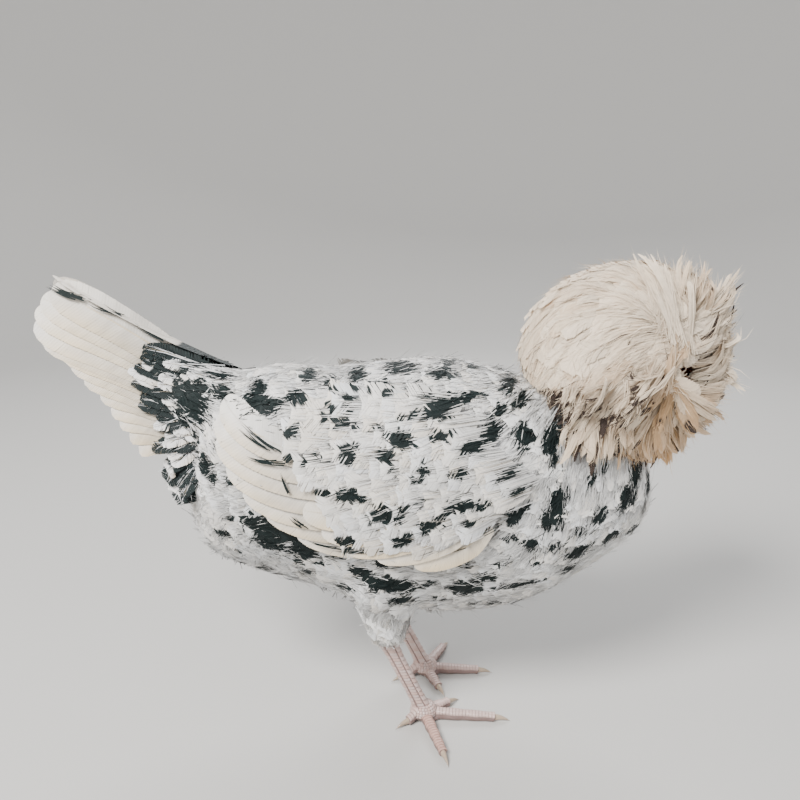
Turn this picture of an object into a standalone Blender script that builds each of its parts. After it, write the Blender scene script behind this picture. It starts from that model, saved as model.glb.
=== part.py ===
"""A polish crested hen with mottled white and black feathers, standing still at life size.

Metres, +Z up, beak towards +X, the hen's right side towards -Y, standing on the floor at z = 0.
"""

import math
import random

import bmesh
import bpy
import numpy as np
from mathutils import Matrix, Vector

UP = Vector((0, 0, 1))
SIDES = (("right", -1), ("left", 1))

# Gap between two nodes that meet, and how far a cutter stands proud so that facets keep it
GAP = 0.0003
CUTTER_MARGIN = 0.0004

# Facets that meet at less than this are one flat face
FLAT_ANGLE = math.radians(0.5)


class Line:
    """A smooth line through a few (position, value) pairs that never swings past them."""

    def __init__(self, *pairs):
        self.at, self.value = np.array(pairs, float).T
        rise = np.diff(self.value) / np.diff(self.at)
        self.slope = np.zeros(len(pairs))
        self.slope[0] = rise[0]
        self.slope[-1] = rise[-1]
        for i in range(1, len(rise)):
            if rise[i - 1] * rise[i] > 0:
                self.slope[i] = 2 * rise[i - 1] * rise[i] / (rise[i - 1] + rise[i])

    def __call__(self, position):
        i = int(np.clip(np.searchsorted(self.at, position) - 1, 0, len(self.at) - 2))
        span = self.at[i + 1] - self.at[i]
        t = min(max((position - self.at[i]) / span, 0.0), 1.0)
        ease = t * t * (3 - 2 * t)
        start = t * (1 - t) ** 2 * self.slope[i] * span
        end = t * t * (t - 1) * self.slope[i + 1] * span
        return float(self.value[i] * (1 - ease) + self.value[i + 1] * ease + start + end)


# Torso, by lines along the hen's length: middle height, half height and half width
TORSO_BACK = -0.151
TORSO_FRONT = 0.201
TORSO_MIDDLE = Line(
    (-0.150, 0.197), (-0.100, 0.204), (-0.030, 0.193), (0.050, 0.189), (0.120, 0.186), (0.200, 0.188))
TORSO_HALF_HEIGHT = Line(
    (-0.150, 0.086), (-0.060, 0.088), (0.040, 0.100), (0.090, 0.094), (0.150, 0.070), (0.200, 0.050))
TORSO_HALF_WIDTH = Line(
    (-0.150, 0.056), (-0.070, 0.067), (0.030, 0.070), (0.110, 0.066), (0.160, 0.056), (0.200, 0.046))
TORSO_END_ROUNDNESS = 3.4
TORSO_SECTION_POWER = 2.15
TORSO_KEEL_TAPER = 0.10
TORSO_RINGS = 19
TORSO_SIDES = 22

# Neck in its hackle, as (x, z, half width, half height) from inside the torso to inside the head
NECK = (
    (0.098, 0.222, 0.048, 0.044),
    (0.128, 0.233, 0.047, 0.043),
    (0.157, 0.244, 0.042, 0.041),
    (0.182, 0.257, 0.033, 0.035),
    (0.203, 0.276, 0.015, 0.016),
)
NECK_SIDES = 18
NECK_RINGS = 7

# Head, as (x, z, half width, half height) from its back to the root of the beak
HEAD = (
    (0.1765, 0.2835, 0.0040, 0.0045),
    (0.1820, 0.2832, 0.0108, 0.0115),
    (0.1930, 0.2825, 0.0150, 0.0165),
    (0.2060, 0.2810, 0.0166, 0.0186),
    (0.2190, 0.2790, 0.0152, 0.0170),
    (0.2290, 0.2765, 0.0122, 0.0138),
    (0.2360, 0.2740, 0.0092, 0.0108),
)
HEAD_SIDES = 16
HEAD_RINGS = 9
SKULL_KNOB = Vector((0.2020, 0, 0.2990))
SKULL_KNOB_RADIUS = 0.0125

# Eyes with their lids
EYE = Vector((0.2200, 0.0122, 0.2820))
EYE_RADIUS = 0.0050
EYE_ROOM = 0.0080
LID_RING_RADIUS = 0.0045
LID_THICKNESS = 0.0012
LID_LIFT = 0.0026
LID_STEPS = 12
LID_SIDES = 5

# Beak along the mouth line, from the head's front to its tip
MOUTH_BACK = Vector((0.2363, 0, 0.2688))
MOUTH_FRONT = Vector((0.2535, 0, 0.2622))
BEAK_TIP = Vector((0.2562, 0, 0.2592))
BEAK_HALF_WIDTH = 0.0078
BEAK_RISE = 0.0092
BEAK_DROP = 0.0046
BEAK_SIDES = 12
BEAK_STEPS = 5
BEAK_POINT = 0.6
BEAK_PARTING = 0.0009
UPPER_BEAK_RISE = Line((0, BEAK_RISE), (0.45, 0.0078), (1, 0.0030))
UPPER_BEAK_DROP = Line((0, 0.0003), (0.7, 0.0003), (1, 0.0008))
LOWER_BEAK_RISE = Line((0, 0.0003), (1, 0.0002))
LOWER_BEAK_DROP = Line((0, BEAK_DROP), (1, 0.0012))
MOUTH_SLOT_WIDTH = 0.05
MOUTH_CORNER_DEPTH = 0.0070
MOUTH_SLOT = 0.0006
NOSTRIL = Vector((0.2415, 0.0066, 0.2742))
NOSTRIL_SIZE = Vector((0.0021, 0.0012, 0.0011))

# Bare skin of the face: lobes behind the eyes, wattles under the beak, a small two-horned comb
LOBE = Vector((0.2100, 0.0158, 0.2680))
LOBE_SIZE = Vector((0.0038, 0.0024, 0.0058))
WATTLE = Vector((0.2325, 0.0068, 0.2580))
WATTLE_SIZE = Vector((0.0048, 0.0021, 0.0082))
COMB_ROOT = Vector((0.2335, 0.0024, 0.2835))
COMB_TIP = Vector((0.2322, 0.0072, 0.2945))
COMB_RADIUS = 0.0026
COMB_ROOT_DEPTH = 0.003

# Vanes, the solid feathers: thickness, and width along them from root to rounded tip
VANE_THICKNESS = 0.0007
CREST_VANE = ((0.0, 0.26), (0.36, 0.66), (0.70, 1.0), (0.92, 0.78), (1.0, 0.30))
CREST_TOP_VANE = ((0.0, 0.26), (0.60, 1.0), (0.90, 0.80), (1.0, 0.30))
LONG_VANE = ((0.0, 0.40), (0.32, 0.86), (0.68, 1.0), (0.91, 0.78), (1.0, 0.30))
SHORT_VANE = ((0.0, 0.55), (0.50, 1.0), (0.86, 0.84), (1.0, 0.34))

# Crest: long feathers that root in a core on the skull and fall away from a whorl at the top
CREST_MIDDLE = Vector((0.1800, 0, 0.2900))
CREST_SIZE = Vector((0.0835, 0.0720, 0.0770))
CREST_CORE = Vector((0.1900, 0, 0.3080))
CREST_CORE_SIZE = Vector((0.0370, 0.0300, 0.0240))
CREST_WHORL_TILT = math.radians(25)
CREST_TIERS = 8
CREST_TOP_TIERS = 3
CREST_FIRST_ANGLE = math.radians(13)
CREST_LAST_ANGLE = math.radians(148)
CREST_SPACING = 0.0224
CREST_VANE_HALF_WIDTH = 0.0081
CREST_ROOT_SHARE = 0.62
CREST_ROOT_DEPTH = 0.66
CREST_ARCH = math.radians(24)
CREST_UNDER = 0.925
CREST_LEAST_BEND = 0.35
CREST_RISE = 1.5
CREST_RAGGED = 0.035
CREST_CLEARANCE = 0.004
CREST_MOST_SHIFT = 0.022
FACE_HALF_ANGLE = math.radians(34)
FACE_TOP = 0.284

# Wings, folded on the torso's sides: a core at the shoulder, and tiers of vanes that reach back
WING_SHEET_WIDTH = 0.0745
WING_SHEET_MIDDLE = (0.030, 0.215)
WING_SHEET_BEND = (1.40, 3.60, 3.00, 7.00)
WING_CLEARANCE = 0.0034
WING_CORE_BACK = -0.040
WING_CORE_FRONT = 0.092
WING_CORE_LOW = Line((-0.040, 0.222), (-0.010, 0.186), (0.035, 0.173), (0.070, 0.184), (0.092, 0.206))
WING_CORE_HIGH = Line((-0.040, 0.250), (0.000, 0.266), (0.050, 0.264), (0.092, 0.222))
WING_CORE_THICKNESS = 0.0048
WING_CORE_EDGE_POWER = 4
WING_CORE_SEAT = 0.003

# Each tier: places that its roots and its tips follow, as (x, z) from top to bottom,
# then how many vanes, half width, bow, and how far roots and tips lie over the sheet
WING_TIERS = (
    (((0.000, 0.250), (0.010, 0.216), (0.036, 0.190)), ((-0.117, 0.267), (-0.119, 0.232), (-0.066, 0.184)),
     6, 0.0106, 0.010, 0.0012, 0.0004, LONG_VANE),
    (((0.044, 0.218), (0.056, 0.206), (0.072, 0.194)), ((-0.060, 0.204), (-0.030, 0.174), (0.016, 0.162)),
     4, 0.0108, 0.008, 0.0024, 0.0032, LONG_VANE),
    (((-0.018, 0.254), (0.010, 0.222), (0.056, 0.190)), ((-0.072, 0.266), (-0.044, 0.220), (0.014, 0.177)),
     6, 0.0110, 0.003, 0.0026, 0.0054, SHORT_VANE),
    (((0.016, 0.256), (0.042, 0.226), (0.074, 0.200)), ((-0.032, 0.269), (-0.004, 0.227), (0.044, 0.186)),
     4, 0.0122, 0.002, 0.0030, 0.0064, SHORT_VANE),
    (((0.046, 0.254), (0.064, 0.232), (0.083, 0.208)), ((0.010, 0.268), (0.030, 0.232), (0.066, 0.194)),
     3, 0.0126, 0.001, 0.0030, 0.0070, SHORT_VANE),
)
SHINGLE_TILT = 0.0007

# Tail: a core behind the torso, and tiers of vanes on a tent that opens downwards
TAIL_CORE = (
    (-0.108, 0.238, 0.030, 0.038),
    (-0.140, 0.247, 0.027, 0.040),
    (-0.170, 0.268, 0.017, 0.027),
    (-0.194, 0.286, 0.006, 0.010),
)
TAIL_CORE_SIDES = 14
TAIL_CORE_RINGS = 7
TAIL_TOP = Line((-0.262, 0.352), (-0.246, 0.351), (-0.200, 0.328), (-0.152, 0.297), (-0.120, 0.285))
TENT_TOP = 0.0040
TENT_SLOPE = 0.33
TAIL_TIERS = (
    (((-0.143, 0.277), (-0.146, 0.254), (-0.148, 0.228)),
     ((-0.253, 0.347), (-0.263, 0.317), (-0.232, 0.290), (-0.206, 0.257), (-0.181, 0.224)),
     6, 0.0128, -0.003, 0.0000, 0.0000, LONG_VANE),
    (((-0.136, 0.276), (-0.140, 0.256), (-0.144, 0.232)), ((-0.196, 0.312), (-0.186, 0.272), (-0.164, 0.224)),
     4, 0.0124, -0.001, 0.0018, 0.0032, SHORT_VANE),
    (((-0.150, 0.226), (-0.150, 0.220), (-0.149, 0.214)), ((-0.176, 0.212), (-0.170, 0.201), (-0.160, 0.190)),
     2, 0.0100, 0.001, -0.0040, -0.0045, SHORT_VANE),
)

# Legs: the thigh as (height, x, half width, half length), the shank down to the foot's junction
THIGH_OUT = 0.032
THIGH = (
    (0.146, -0.004, 0.030, 0.040),
    (0.122, -0.003, 0.027, 0.031),
    (0.104, -0.003, 0.021, 0.0205),
    (0.088, -0.001, 0.0165, 0.0165),
    (0.079, 0.000, 0.0140, 0.0145),
    (0.073, -0.001, 0.0105, 0.0105),
)
THIGH_SIDES = 16
THIGH_RINGS = 7
FOOT_X = {"right": 0.028, "left": 0.031}
FOOT_OUT = {"right": 0.0265, "left": 0.0355}
SHANK_TOP_X = -0.001
SHANK_LOW = 0.008
SHANK_HALF_WIDTH = Line((0.0, 0.0062), (0.25, 0.0050), (0.75, 0.0050), (1.0, 0.0062))
SHANK_HALF_LENGTH = Line((0.0, 0.0080), (0.25, 0.0066), (0.75, 0.0064), (1.0, 0.0078))
SHANK_SIDES = 8
SHANK_SCUTES = 7
SCUTE_STEP = 0.0006
PAD_SIZE = Vector((0.0105, 0.0100, 0.0080))

# Toes: where each tip lies from the foot's junction, as (forward, outward), and its scutes
TOES = {
    "right": {
        "inner": (0.0310, -0.0230, 5),
        "middle": (0.0700, 0.0050, 8),
        "outer": (0.0170, 0.0585, 6),
        "hind": (-0.0230, 0.0160, 3),
    },
    "left": {
        "inner": (0.0160, -0.0370, 5),
        "middle": (0.0600, -0.0010, 8),
        "outer": (0.0240, 0.0475, 6),
        "hind": (-0.0300, -0.0150, 3),
    },
}
TOE_START = 0.0075
TOE_HALF_WIDTH = (0.0046, 0.0033)
TOE_HEIGHT = (0.0092, 0.0068)
HIND_TOE_LIFT = 0.0045
CLAW_LENGTH = 0.0125
CLAW_RADIUS = 0.0028
CLAW_SIDES = 6
CLAW_STEPS = 4
CLAW_ROOT_LEVEL = 0.52
CLAW_BEND = 2.2
CLAW_POINT = 0.75
CLAW_TIP_HEIGHT = 0.0009
WEB_REACH = 0.016
WEB_HEIGHTS = (0.0016, 0.0034)


def remove_everything():
    for obj in list(bpy.data.objects):
        bpy.data.objects.remove(obj, do_unlink=True)


def material(name, colour, roughness, metallic=0.0):
    """A Principled material of one colour, made once."""
    found = bpy.data.materials.get(name)
    if found:
        return found
    made = bpy.data.materials.new(name)
    made.use_nodes = True
    shader = made.node_tree.nodes["Principled BSDF"]
    shader.inputs["Base Color"].default_value = (*colour, 1)
    shader.inputs["Roughness"].default_value = roughness
    shader.inputs["Metallic"].default_value = metallic
    made.diffuse_color = (*colour, 1)
    return made


def white_feather():
    return material("white_feather", (0.80, 0.78, 0.74), 0.85)


def crest_feather():
    return material("crest_feather", (0.82, 0.76, 0.66), 0.85)


def shank_skin():
    return material("shank_skin", (0.55, 0.43, 0.41), 0.55)


def horn():
    return material("horn", (0.62, 0.52, 0.42), 0.40)


def face_skin():
    return material("face_skin", (0.50, 0.10, 0.08), 0.60)


def lobe_skin():
    return material("lobe_skin", (0.75, 0.66, 0.60), 0.65)


def eye_glass():
    return material("eye_glass", (0.30, 0.08, 0.02), 0.08)


def mesh_object(name, bm):
    """A linked object of the finished bmesh, with its faces outwards and round parts smooth."""
    bmesh.ops.recalc_face_normals(bm, faces=bm.faces)
    mesh = bpy.data.meshes.new(name)
    bm.to_mesh(mesh)
    bm.free()
    obj = bpy.data.objects.new(name, mesh)
    bpy.context.scene.collection.objects.link(obj)
    return obj


def ring(middle, along, half_side, rise, drop, count, power=2.0):
    """Points round a middle, across the direction along, wide by half_side and high by rise and drop."""
    forward = Vector(along).normalized()
    side = forward.cross(UP).normalized()
    above = side.cross(forward)
    points = []
    for i in range(count):
        angle = math.tau * (i + 0.5) / count
        across = math.copysign(abs(math.cos(angle)) ** (2 / power), math.cos(angle))
        high = math.copysign(abs(math.sin(angle)) ** (2 / power), math.sin(angle))
        height = rise if high > 0 else drop
        points.append(Vector(middle) + side * half_side * across + above * height * high)
    return points


def skin_over(rings):
    """A closed bmesh over rings of points; a ring of one point is a tip."""
    bm = bmesh.new()
    rows = [[bm.verts.new(point) for point in points] for points in rings]
    for near, far in zip(rows, rows[1:]):
        count = max(len(near), len(far))
        for i in range(count):
            j = (i + 1) % count
            corners = (near[i % len(near)], near[j % len(near)], far[j % len(far)], far[i % len(far)])
            bm.faces.new(list(dict.fromkeys(corners)))
    for row in (rows[0], rows[-1]):
        if len(row) > 2:
            bm.faces.new(row)
    bmesh.ops.triangulate(bm, faces=bm.faces)
    return bm


def limb(stations, count, sides, power=2.0):
    """Rings along a smooth run through stations of (point, half side, rise, drop)."""
    columns = np.array([[*point, side, rise, drop] for point, side, rise, drop in stations])
    lines = [Line(*enumerate(column)) for column in columns.T]
    last = len(stations) - 1
    rows = [[line(last * i / (count - 1)) for line in lines] for i in range(count)]
    rings = []
    for i, row in enumerate(rows):
        before = Vector(rows[max(i - 1, 0)][:3])
        after = Vector(rows[min(i + 1, count - 1)][:3])
        rings.append(ring(row[:3], after - before, *row[3:], sides, power))
    return rings


def ball(middle, size, segments, rows):
    """A bmesh ball of three half sizes."""
    bm = bmesh.new()
    place = Matrix.LocRotScale(middle, None, size)
    bmesh.ops.create_uvsphere(bm, u_segments=segments, v_segments=rows, radius=1, matrix=place)
    bmesh.ops.triangulate(bm, faces=bm.faces)
    return bm


def grown(obj, margin=CUTTER_MARGIN):
    """The object moved outwards along its normals, ready to cut a neighbour."""
    bm = bmesh.new()
    bm.from_mesh(obj.data)
    bm.normal_update()
    for vert, normal in [(vert, vert.normal.copy()) for vert in bm.verts]:
        vert.co += normal * margin
    bm.to_mesh(obj.data)
    bm.free()
    obj.hide_render = True
    obj.display_type = "WIRE"
    return obj


def is_closed(mesh):
    """Whether the mesh has faces and each of its edges joins two of them."""
    bm = bmesh.new()
    bm.from_mesh(mesh)
    closed = bool(bm.faces) and all(len(edge.link_faces) == 2 for edge in bm.edges)
    bm.free()
    return closed


def boolean(obj, operation, other, solvers=("EXACT", "MANIFOLD")):
    """Joins obj with an object or a collection, or cuts it by one, and applies that.

    The second solver is for where the first one leaves an open mesh or none.
    """
    for solver in solvers:
        modifier = obj.modifiers.new(operation, "BOOLEAN")
        modifier.operation = operation
        modifier.solver = solver
        if isinstance(other, bpy.types.Collection):
            modifier.operand_type = "COLLECTION"
            modifier.collection = other
        else:
            modifier.object = other
        bpy.context.view_layer.update()
        graph = bpy.context.evaluated_depsgraph_get()
        result = bpy.data.meshes.new_from_object(obj.evaluated_get(graph))
        obj.modifiers.clear()
        if is_closed(result):
            break
    plain = obj.data
    obj.data = result
    bpy.data.meshes.remove(plain)


def fuse(obj, pieces, solvers=("EXACT", "MANIFOLD")):
    """Unites obj with its pieces, which are removed."""
    group = bpy.data.collections.new(obj.name + "_pieces")
    bpy.context.scene.collection.children.link(group)
    for piece in pieces:
        bpy.context.scene.collection.objects.unlink(piece)
        group.objects.link(piece)
    boolean(obj, "UNION", group, solvers)
    for piece in pieces:
        bpy.data.objects.remove(piece, do_unlink=True)
    bpy.data.collections.remove(group)


def carve(obj, cutters):
    """Cuts obj by its neighbours' grown shapes, which are removed."""
    for cutter in cutters:
        boolean(obj, "DIFFERENCE", cutter)
        bpy.data.objects.remove(cutter, do_unlink=True)


def islands(bm):
    """The bmesh's faces in groups that share edges."""
    left = set(bm.faces)
    while left:
        group = []
        queue = [left.pop()]
        while queue:
            face = queue.pop()
            group.append(face)
            for edge in face.edges:
                for other in edge.link_faces:
                    if other in left:
                        left.remove(other)
                        queue.append(other)
        yield group


def volume(faces):
    return sum(f.verts[0].co.cross(f.verts[1].co).dot(f.verts[2].co) for f in faces) / 6


def without_flat_edges(bm):
    """The bmesh with its flat facets joined, or as it was where that would open it."""
    joined = bm.copy()
    bmesh.ops.dissolve_limit(joined, angle_limit=FLAT_ANGLE, verts=joined.verts, edges=joined.edges)
    bmesh.ops.triangulate(joined, faces=joined.faces)
    closed = all(len(edge.link_faces) == 2 for edge in joined.edges)
    kept, dropped = (joined, bm) if closed else (bm, joined)
    dropped.free()
    return kept


def finish(obj, finish_material):
    """Keeps the largest closed surface, joins its flat facets, and gives it its material."""
    bm = bmesh.new()
    bm.from_mesh(obj.data)
    bmesh.ops.triangulate(bm, faces=bm.faces)
    groups = sorted(islands(bm), key=volume)
    scraps = [face for group in groups[:-1] for face in group]
    bmesh.ops.delete(bm, geom=scraps, context="FACES")
    bm = without_flat_edges(bm)
    bm.to_mesh(obj.data)
    bm.free()
    obj.data.materials.clear()
    obj.data.materials.append(finish_material)
    obj.data.shade_smooth()
    obj.data.set_sharp_from_angle(angle=math.radians(50))
    return obj


def torso_section(x):
    """Middle height, half height and half width of the torso's section at x."""
    middle = (TORSO_BACK + TORSO_FRONT) / 2
    reach = min(abs(x - middle) / (TORSO_FRONT - middle), 1.0)
    closing = (1 - reach**TORSO_END_ROUNDNESS) ** (1 / TORSO_END_ROUNDNESS)
    return TORSO_MIDDLE(x), TORSO_HALF_HEIGHT(x) * closing, TORSO_HALF_WIDTH(x) * closing


def torso_half_width(x, z):
    """How far the torso's side stands from the middle plane at a point."""
    middle, high, wide = torso_section(x)
    level = (z - middle) / max(high, 1e-6)
    if abs(level) >= 1:
        return 0.0
    share = (1 - abs(level) ** TORSO_SECTION_POWER) ** (1 / TORSO_SECTION_POWER)
    return wide * share * (1 + TORSO_KEEL_TAPER * level)


def torso_shape():
    middle = (TORSO_BACK + TORSO_FRONT) / 2
    half = (TORSO_FRONT - TORSO_BACK) / 2
    rings = [[Vector((TORSO_BACK, 0, TORSO_MIDDLE(TORSO_BACK)))]]
    for i in range(1, TORSO_RINGS):
        x = middle - half * math.cos(math.pi * i / TORSO_RINGS)
        height, high, wide = torso_section(x)
        points = ring((x, 0, height), (1, 0, 0), wide, high, high, TORSO_SIDES, TORSO_SECTION_POWER)
        for point in points:
            point.y *= 1 + TORSO_KEEL_TAPER * (point.z - height) / high
        rings.append(points)
    rings.append([Vector((TORSO_FRONT, 0, TORSO_MIDDLE(TORSO_FRONT)))])
    return mesh_object("torso", skin_over(rings))


def neck_shape():
    stations = [((x, 0, z), wide, high, high) for x, z, wide, high in NECK]
    return mesh_object("neck", skin_over(limb(stations, NECK_RINGS, NECK_SIDES)))


def head_shape():
    stations = [((x, 0, z), wide, high, high) for x, z, wide, high in HEAD]
    rings = limb(stations, HEAD_RINGS, HEAD_SIDES)
    for point in rings[-1]:
        point.x = HEAD[-1][0]
    head = mesh_object("head", skin_over(rings))
    knob = mesh_object("knob", ball(SKULL_KNOB, Vector((1, 1, 1)) * SKULL_KNOB_RADIUS, 12, 7))
    fuse(head, [knob])
    return head


def mirrored(point, side):
    return Vector((point.x, point.y * side, point.z))


def eye_shape(name, side):
    return mesh_object(name, ball(mirrored(EYE, side), Vector((1, 1, 1)) * EYE_RADIUS, 10, 7))


def lid_shape(side):
    """A raised ring of skin round one eye."""
    outwards = Vector((0.12, side, 0.05)).normalized()
    across = outwards.cross(UP).normalized()
    above = across.cross(outwards)
    middle = mirrored(EYE, side) + outwards * LID_LIFT
    bm = bmesh.new()
    rows = []
    for turn in np.linspace(0, math.tau, LID_STEPS + 1)[:-1]:
        away = across * math.cos(turn) + above * math.sin(turn)
        rows.append([bm.verts.new(middle + away * (LID_RING_RADIUS + LID_THICKNESS * math.cos(a))
                                  + outwards * LID_THICKNESS * math.sin(a))
                     for a in np.linspace(0, math.tau, LID_SIDES + 1)[:-1]])
    for near, far in zip(rows, rows[1:] + rows[:1]):
        for i in range(LID_SIDES):
            bm.faces.new((near[i - 1], near[i], far[i], far[i - 1]))
    bmesh.ops.triangulate(bm, faces=bm.faces)
    return mesh_object("lid", bm)


def build_head():
    head = head_shape()
    fuse(head, [lid_shape(side) for _, side in SIDES])
    slot_along = MOUTH_FRONT - MOUTH_BACK
    slot = bmesh.new()
    turn = Matrix.Rotation(-math.atan2(slot_along.z, slot_along.x), 3, "Y")
    slot_size = Vector((MOUTH_CORNER_DEPTH * 2, MOUTH_SLOT_WIDTH, MOUTH_SLOT))
    place = Matrix.LocRotScale(MOUTH_BACK, turn.to_quaternion(), slot_size)
    bmesh.ops.create_cube(slot, size=1, matrix=place)
    cutters = [grown(eye_shape("eye_cutter", side)) for _, side in SIDES]
    carve(head, cutters + [mesh_object("mouth_cutter", slot)])
    finish(head, face_skin())


def build_eyes():
    for label, side in SIDES:
        finish(eye_shape("eye_" + label, side), eye_glass())


def beak_half(ends, line_shift, rise, drop):
    """Half a beak along the mouth line: rise and drop are lines over 0 at the head to 1 at the tip."""
    rings = []
    start = MOUTH_BACK + Vector((0, 0, line_shift))
    finish_at = ends + Vector((0, 0, line_shift))
    for i in range(BEAK_STEPS):
        t = i / BEAK_STEPS
        middle = start.lerp(finish_at, t)
        wide = BEAK_HALF_WIDTH * (1 - t) ** BEAK_POINT
        rings.append(ring(middle, (1, 0, 0), wide, rise(t), drop(t), BEAK_SIDES))
    return rings, finish_at


def build_beak():
    rings, _ = beak_half(MOUTH_FRONT, 0, UPPER_BEAK_RISE, UPPER_BEAK_DROP)
    rings.append([BEAK_TIP])
    upper = mesh_object("beak_upper", skin_over(rings))
    cutters = [mesh_object("nostril", ball(mirrored(NOSTRIL, side), NOSTRIL_SIZE, 8, 5)) for _, side in SIDES]
    carve(upper, cutters)
    finish(upper, horn())
    low_end = MOUTH_BACK.lerp(MOUTH_FRONT, 0.86)
    rings, tip = beak_half(low_end, -BEAK_PARTING, LOWER_BEAK_RISE, LOWER_BEAK_DROP)
    rings.append([tip])
    finish(mesh_object("beak_lower", skin_over(rings)), horn())


def build_face():
    for label, side in SIDES:
        lobe = mesh_object("earlobe_" + label, ball(mirrored(LOBE, side), LOBE_SIZE, 8, 5))
        carve(lobe, [grown(head_shape()), grown(neck_shape())])
        finish(lobe, lobe_skin())
        wattle = mesh_object("wattle_" + label, ball(mirrored(WATTLE, side), WATTLE_SIZE, 8, 6))
        carve(wattle, [grown(head_shape())])
        finish(wattle, face_skin())


def comb_shape():
    horns = []
    for _, side in SIDES:
        root = mirrored(COMB_ROOT, side)
        tip = mirrored(COMB_TIP, side)
        stations = [
            (root - UP * COMB_ROOT_DEPTH, COMB_RADIUS),
            (root.lerp(tip, 0.55), COMB_RADIUS * 0.8),
            (tip, COMB_RADIUS * 0.3),
        ]
        rings = [[Vector(point) + Vector((math.cos(a), math.sin(a), 0)) * wide
                  for a in np.linspace(0, math.tau, 7)[:-1]]
                 for point, wide in stations]
        horns.append(mesh_object("comb", skin_over(rings)))
    fuse(horns[0], horns[1:])
    return horns[0]


def build_comb():
    comb = comb_shape()
    comb.name = "comb"
    carve(comb, [grown(head_shape())])
    finish(comb, face_skin())


def build_neck():
    neck = neck_shape()
    carve(neck, [grown(torso_shape()), grown(head_shape())])
    finish(neck, white_feather())


def vane_mesh(rows):
    """A vane from rows of four corners, its two faces split into triangles alike."""
    bm = bmesh.new()
    made = [[bm.verts.new(point) for point in row] for row in rows]
    for (a, b, c, d), (e, f, g, h) in zip(made, made[1:]):
        for corners in ((a, b, f), (a, f, e), (b, c, g), (b, g, f), (d, g, c), (d, h, g), (d, a, e), (d, e, h)):
            bm.faces.new(corners)
    for a, b, c, d in (made[0], made[-1]):
        bm.faces.new((a, b, c))
        bm.faces.new((a, c, d))
    return mesh_object("vane", bm)


def mixed(points, weights):
    return sum((point * weight for point, weight in zip(points, weights)), Vector((0, 0, 0)))


def crest_direction(angle, turn):
    """The direction at an angle from the whorl's axis and a turn round it."""
    flat = Vector((math.sin(angle) * math.cos(turn), math.sin(angle) * math.sin(turn), math.cos(angle)))
    return Matrix.Rotation(CREST_WHORL_TILT, 3, "Y") @ flat


def crest_vane(angle, turn, tip, half_width, outline):
    """A vane from the core, out and over along the globe, to its tip."""
    rooted = crest_direction(angle * CREST_ROOT_SHARE, turn)
    bend = max(angle - CREST_ARCH, angle * CREST_LEAST_BEND)
    under = CREST_MIDDLE + crest_direction(bend, turn) * CREST_SIZE * CREST_UNDER
    handles = (
        CREST_CORE + rooted * CREST_CORE_SIZE * CREST_ROOT_DEPTH,
        CREST_CORE + rooted * CREST_CORE_SIZE * CREST_RISE,
        Vector((under.x, math.copysign(max(abs(under.y), abs(tip.y)), tip.y), under.z)) if tip.y else under,
        tip,
    )
    sideways = crest_direction(0, 0).cross(crest_direction(math.pi / 2, turn))
    rows = []
    for t, wide in outline:
        s = 1 - t
        point = mixed(handles, (s**3, 3 * s * s * t, 3 * s * t * t, t**3))
        along = mixed(handles, (-s * s, s * s - 2 * s * t, 2 * s * t - t * t, t * t))
        across = sideways * half_width * wide
        lift = across.cross(along).normalized() * VANE_THICKNESS / 2
        rows.append((point - across + lift, point + across + lift, point + across - lift, point - across - lift))
    return vane_mesh(rows)


def flesh_half_width(x, z):
    """How far the torso or the neck stands from the middle plane at a point."""
    middle, wide, high = (Line(*((row[0], row[k]) for row in NECK))(x) for k in (1, 2, 3))
    level = (z - middle) / high
    inside = NECK[0][0] < x < NECK[-1][0] and abs(level) < 1
    neck = wide * math.sqrt(1 - level**2) if inside else 0.0
    return max(neck, torso_half_width(x, z))


def before_face(point):
    """Whether a point hangs in front of the face, which the solid crest leaves open."""
    turn = math.atan2(abs(point.y), point.x - HEAD[3][0])
    return point.z < FACE_TOP and turn < FACE_HALF_ANGLE


def crest_vanes():
    draw = random.Random(7)
    vanes = []
    for tier in range(CREST_TIERS):
        angle = CREST_FIRST_ANGLE + (CREST_LAST_ANGLE - CREST_FIRST_ANGLE) * tier / (CREST_TIERS - 1)
        count = max(4, round(math.tau * CREST_SIZE.z * math.sin(angle) / CREST_SPACING))
        outline = CREST_TOP_VANE if tier < CREST_TOP_TIERS else CREST_VANE
        for i in range(count):
            turn = math.tau * (i + 0.5 * (tier % 2) + draw.uniform(-0.12, 0.12)) / count
            reach = 1 + draw.uniform(-CREST_RAGGED, CREST_RAGGED * 0.6)
            half_width = CREST_VANE_HALF_WIDTH * draw.uniform(0.85, 1.12)
            leaning = angle + draw.uniform(-0.06, 0.06)
            tip = CREST_MIDDLE + crest_direction(leaning, turn) * CREST_SIZE * reach
            flesh = flesh_half_width(tip.x, tip.z)
            clear = flesh + CREST_CLEARANCE if flesh else 0.0
            if clear - abs(tip.y) < CREST_MOST_SHIFT and not before_face(tip):
                tip.y = math.copysign(max(abs(tip.y), clear), tip.y)
                vanes.append(crest_vane(leaning, turn, tip, half_width, outline))
    return vanes


def face_cutters():
    """Every small piece of the face, grown, and room round each eye and its lids."""
    names = ["beak_upper", "beak_lower", "earlobe_right", "earlobe_left", "wattle_right", "wattle_left", "comb"]
    cutters = []
    for name in names:
        copy = bpy.data.objects[name].copy()
        copy.data = copy.data.copy()
        bpy.context.scene.collection.objects.link(copy)
        cutters.append(grown(copy, 2 * CUTTER_MARGIN))
    for _, side in SIDES:
        cutters.append(mesh_object("eye_room", ball(mirrored(EYE, side), Vector((1, 1, 1)) * EYE_ROOM, 8, 6)))
    return cutters


def build_crest():
    crest = mesh_object("crest", ball(CREST_CORE, CREST_CORE_SIZE, 14, 9))
    fuse(crest, crest_vanes())
    carve(crest, [grown(head_shape()), grown(neck_shape()), grown(torso_shape())] + face_cutters())
    finish(crest, crest_feather())


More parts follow.
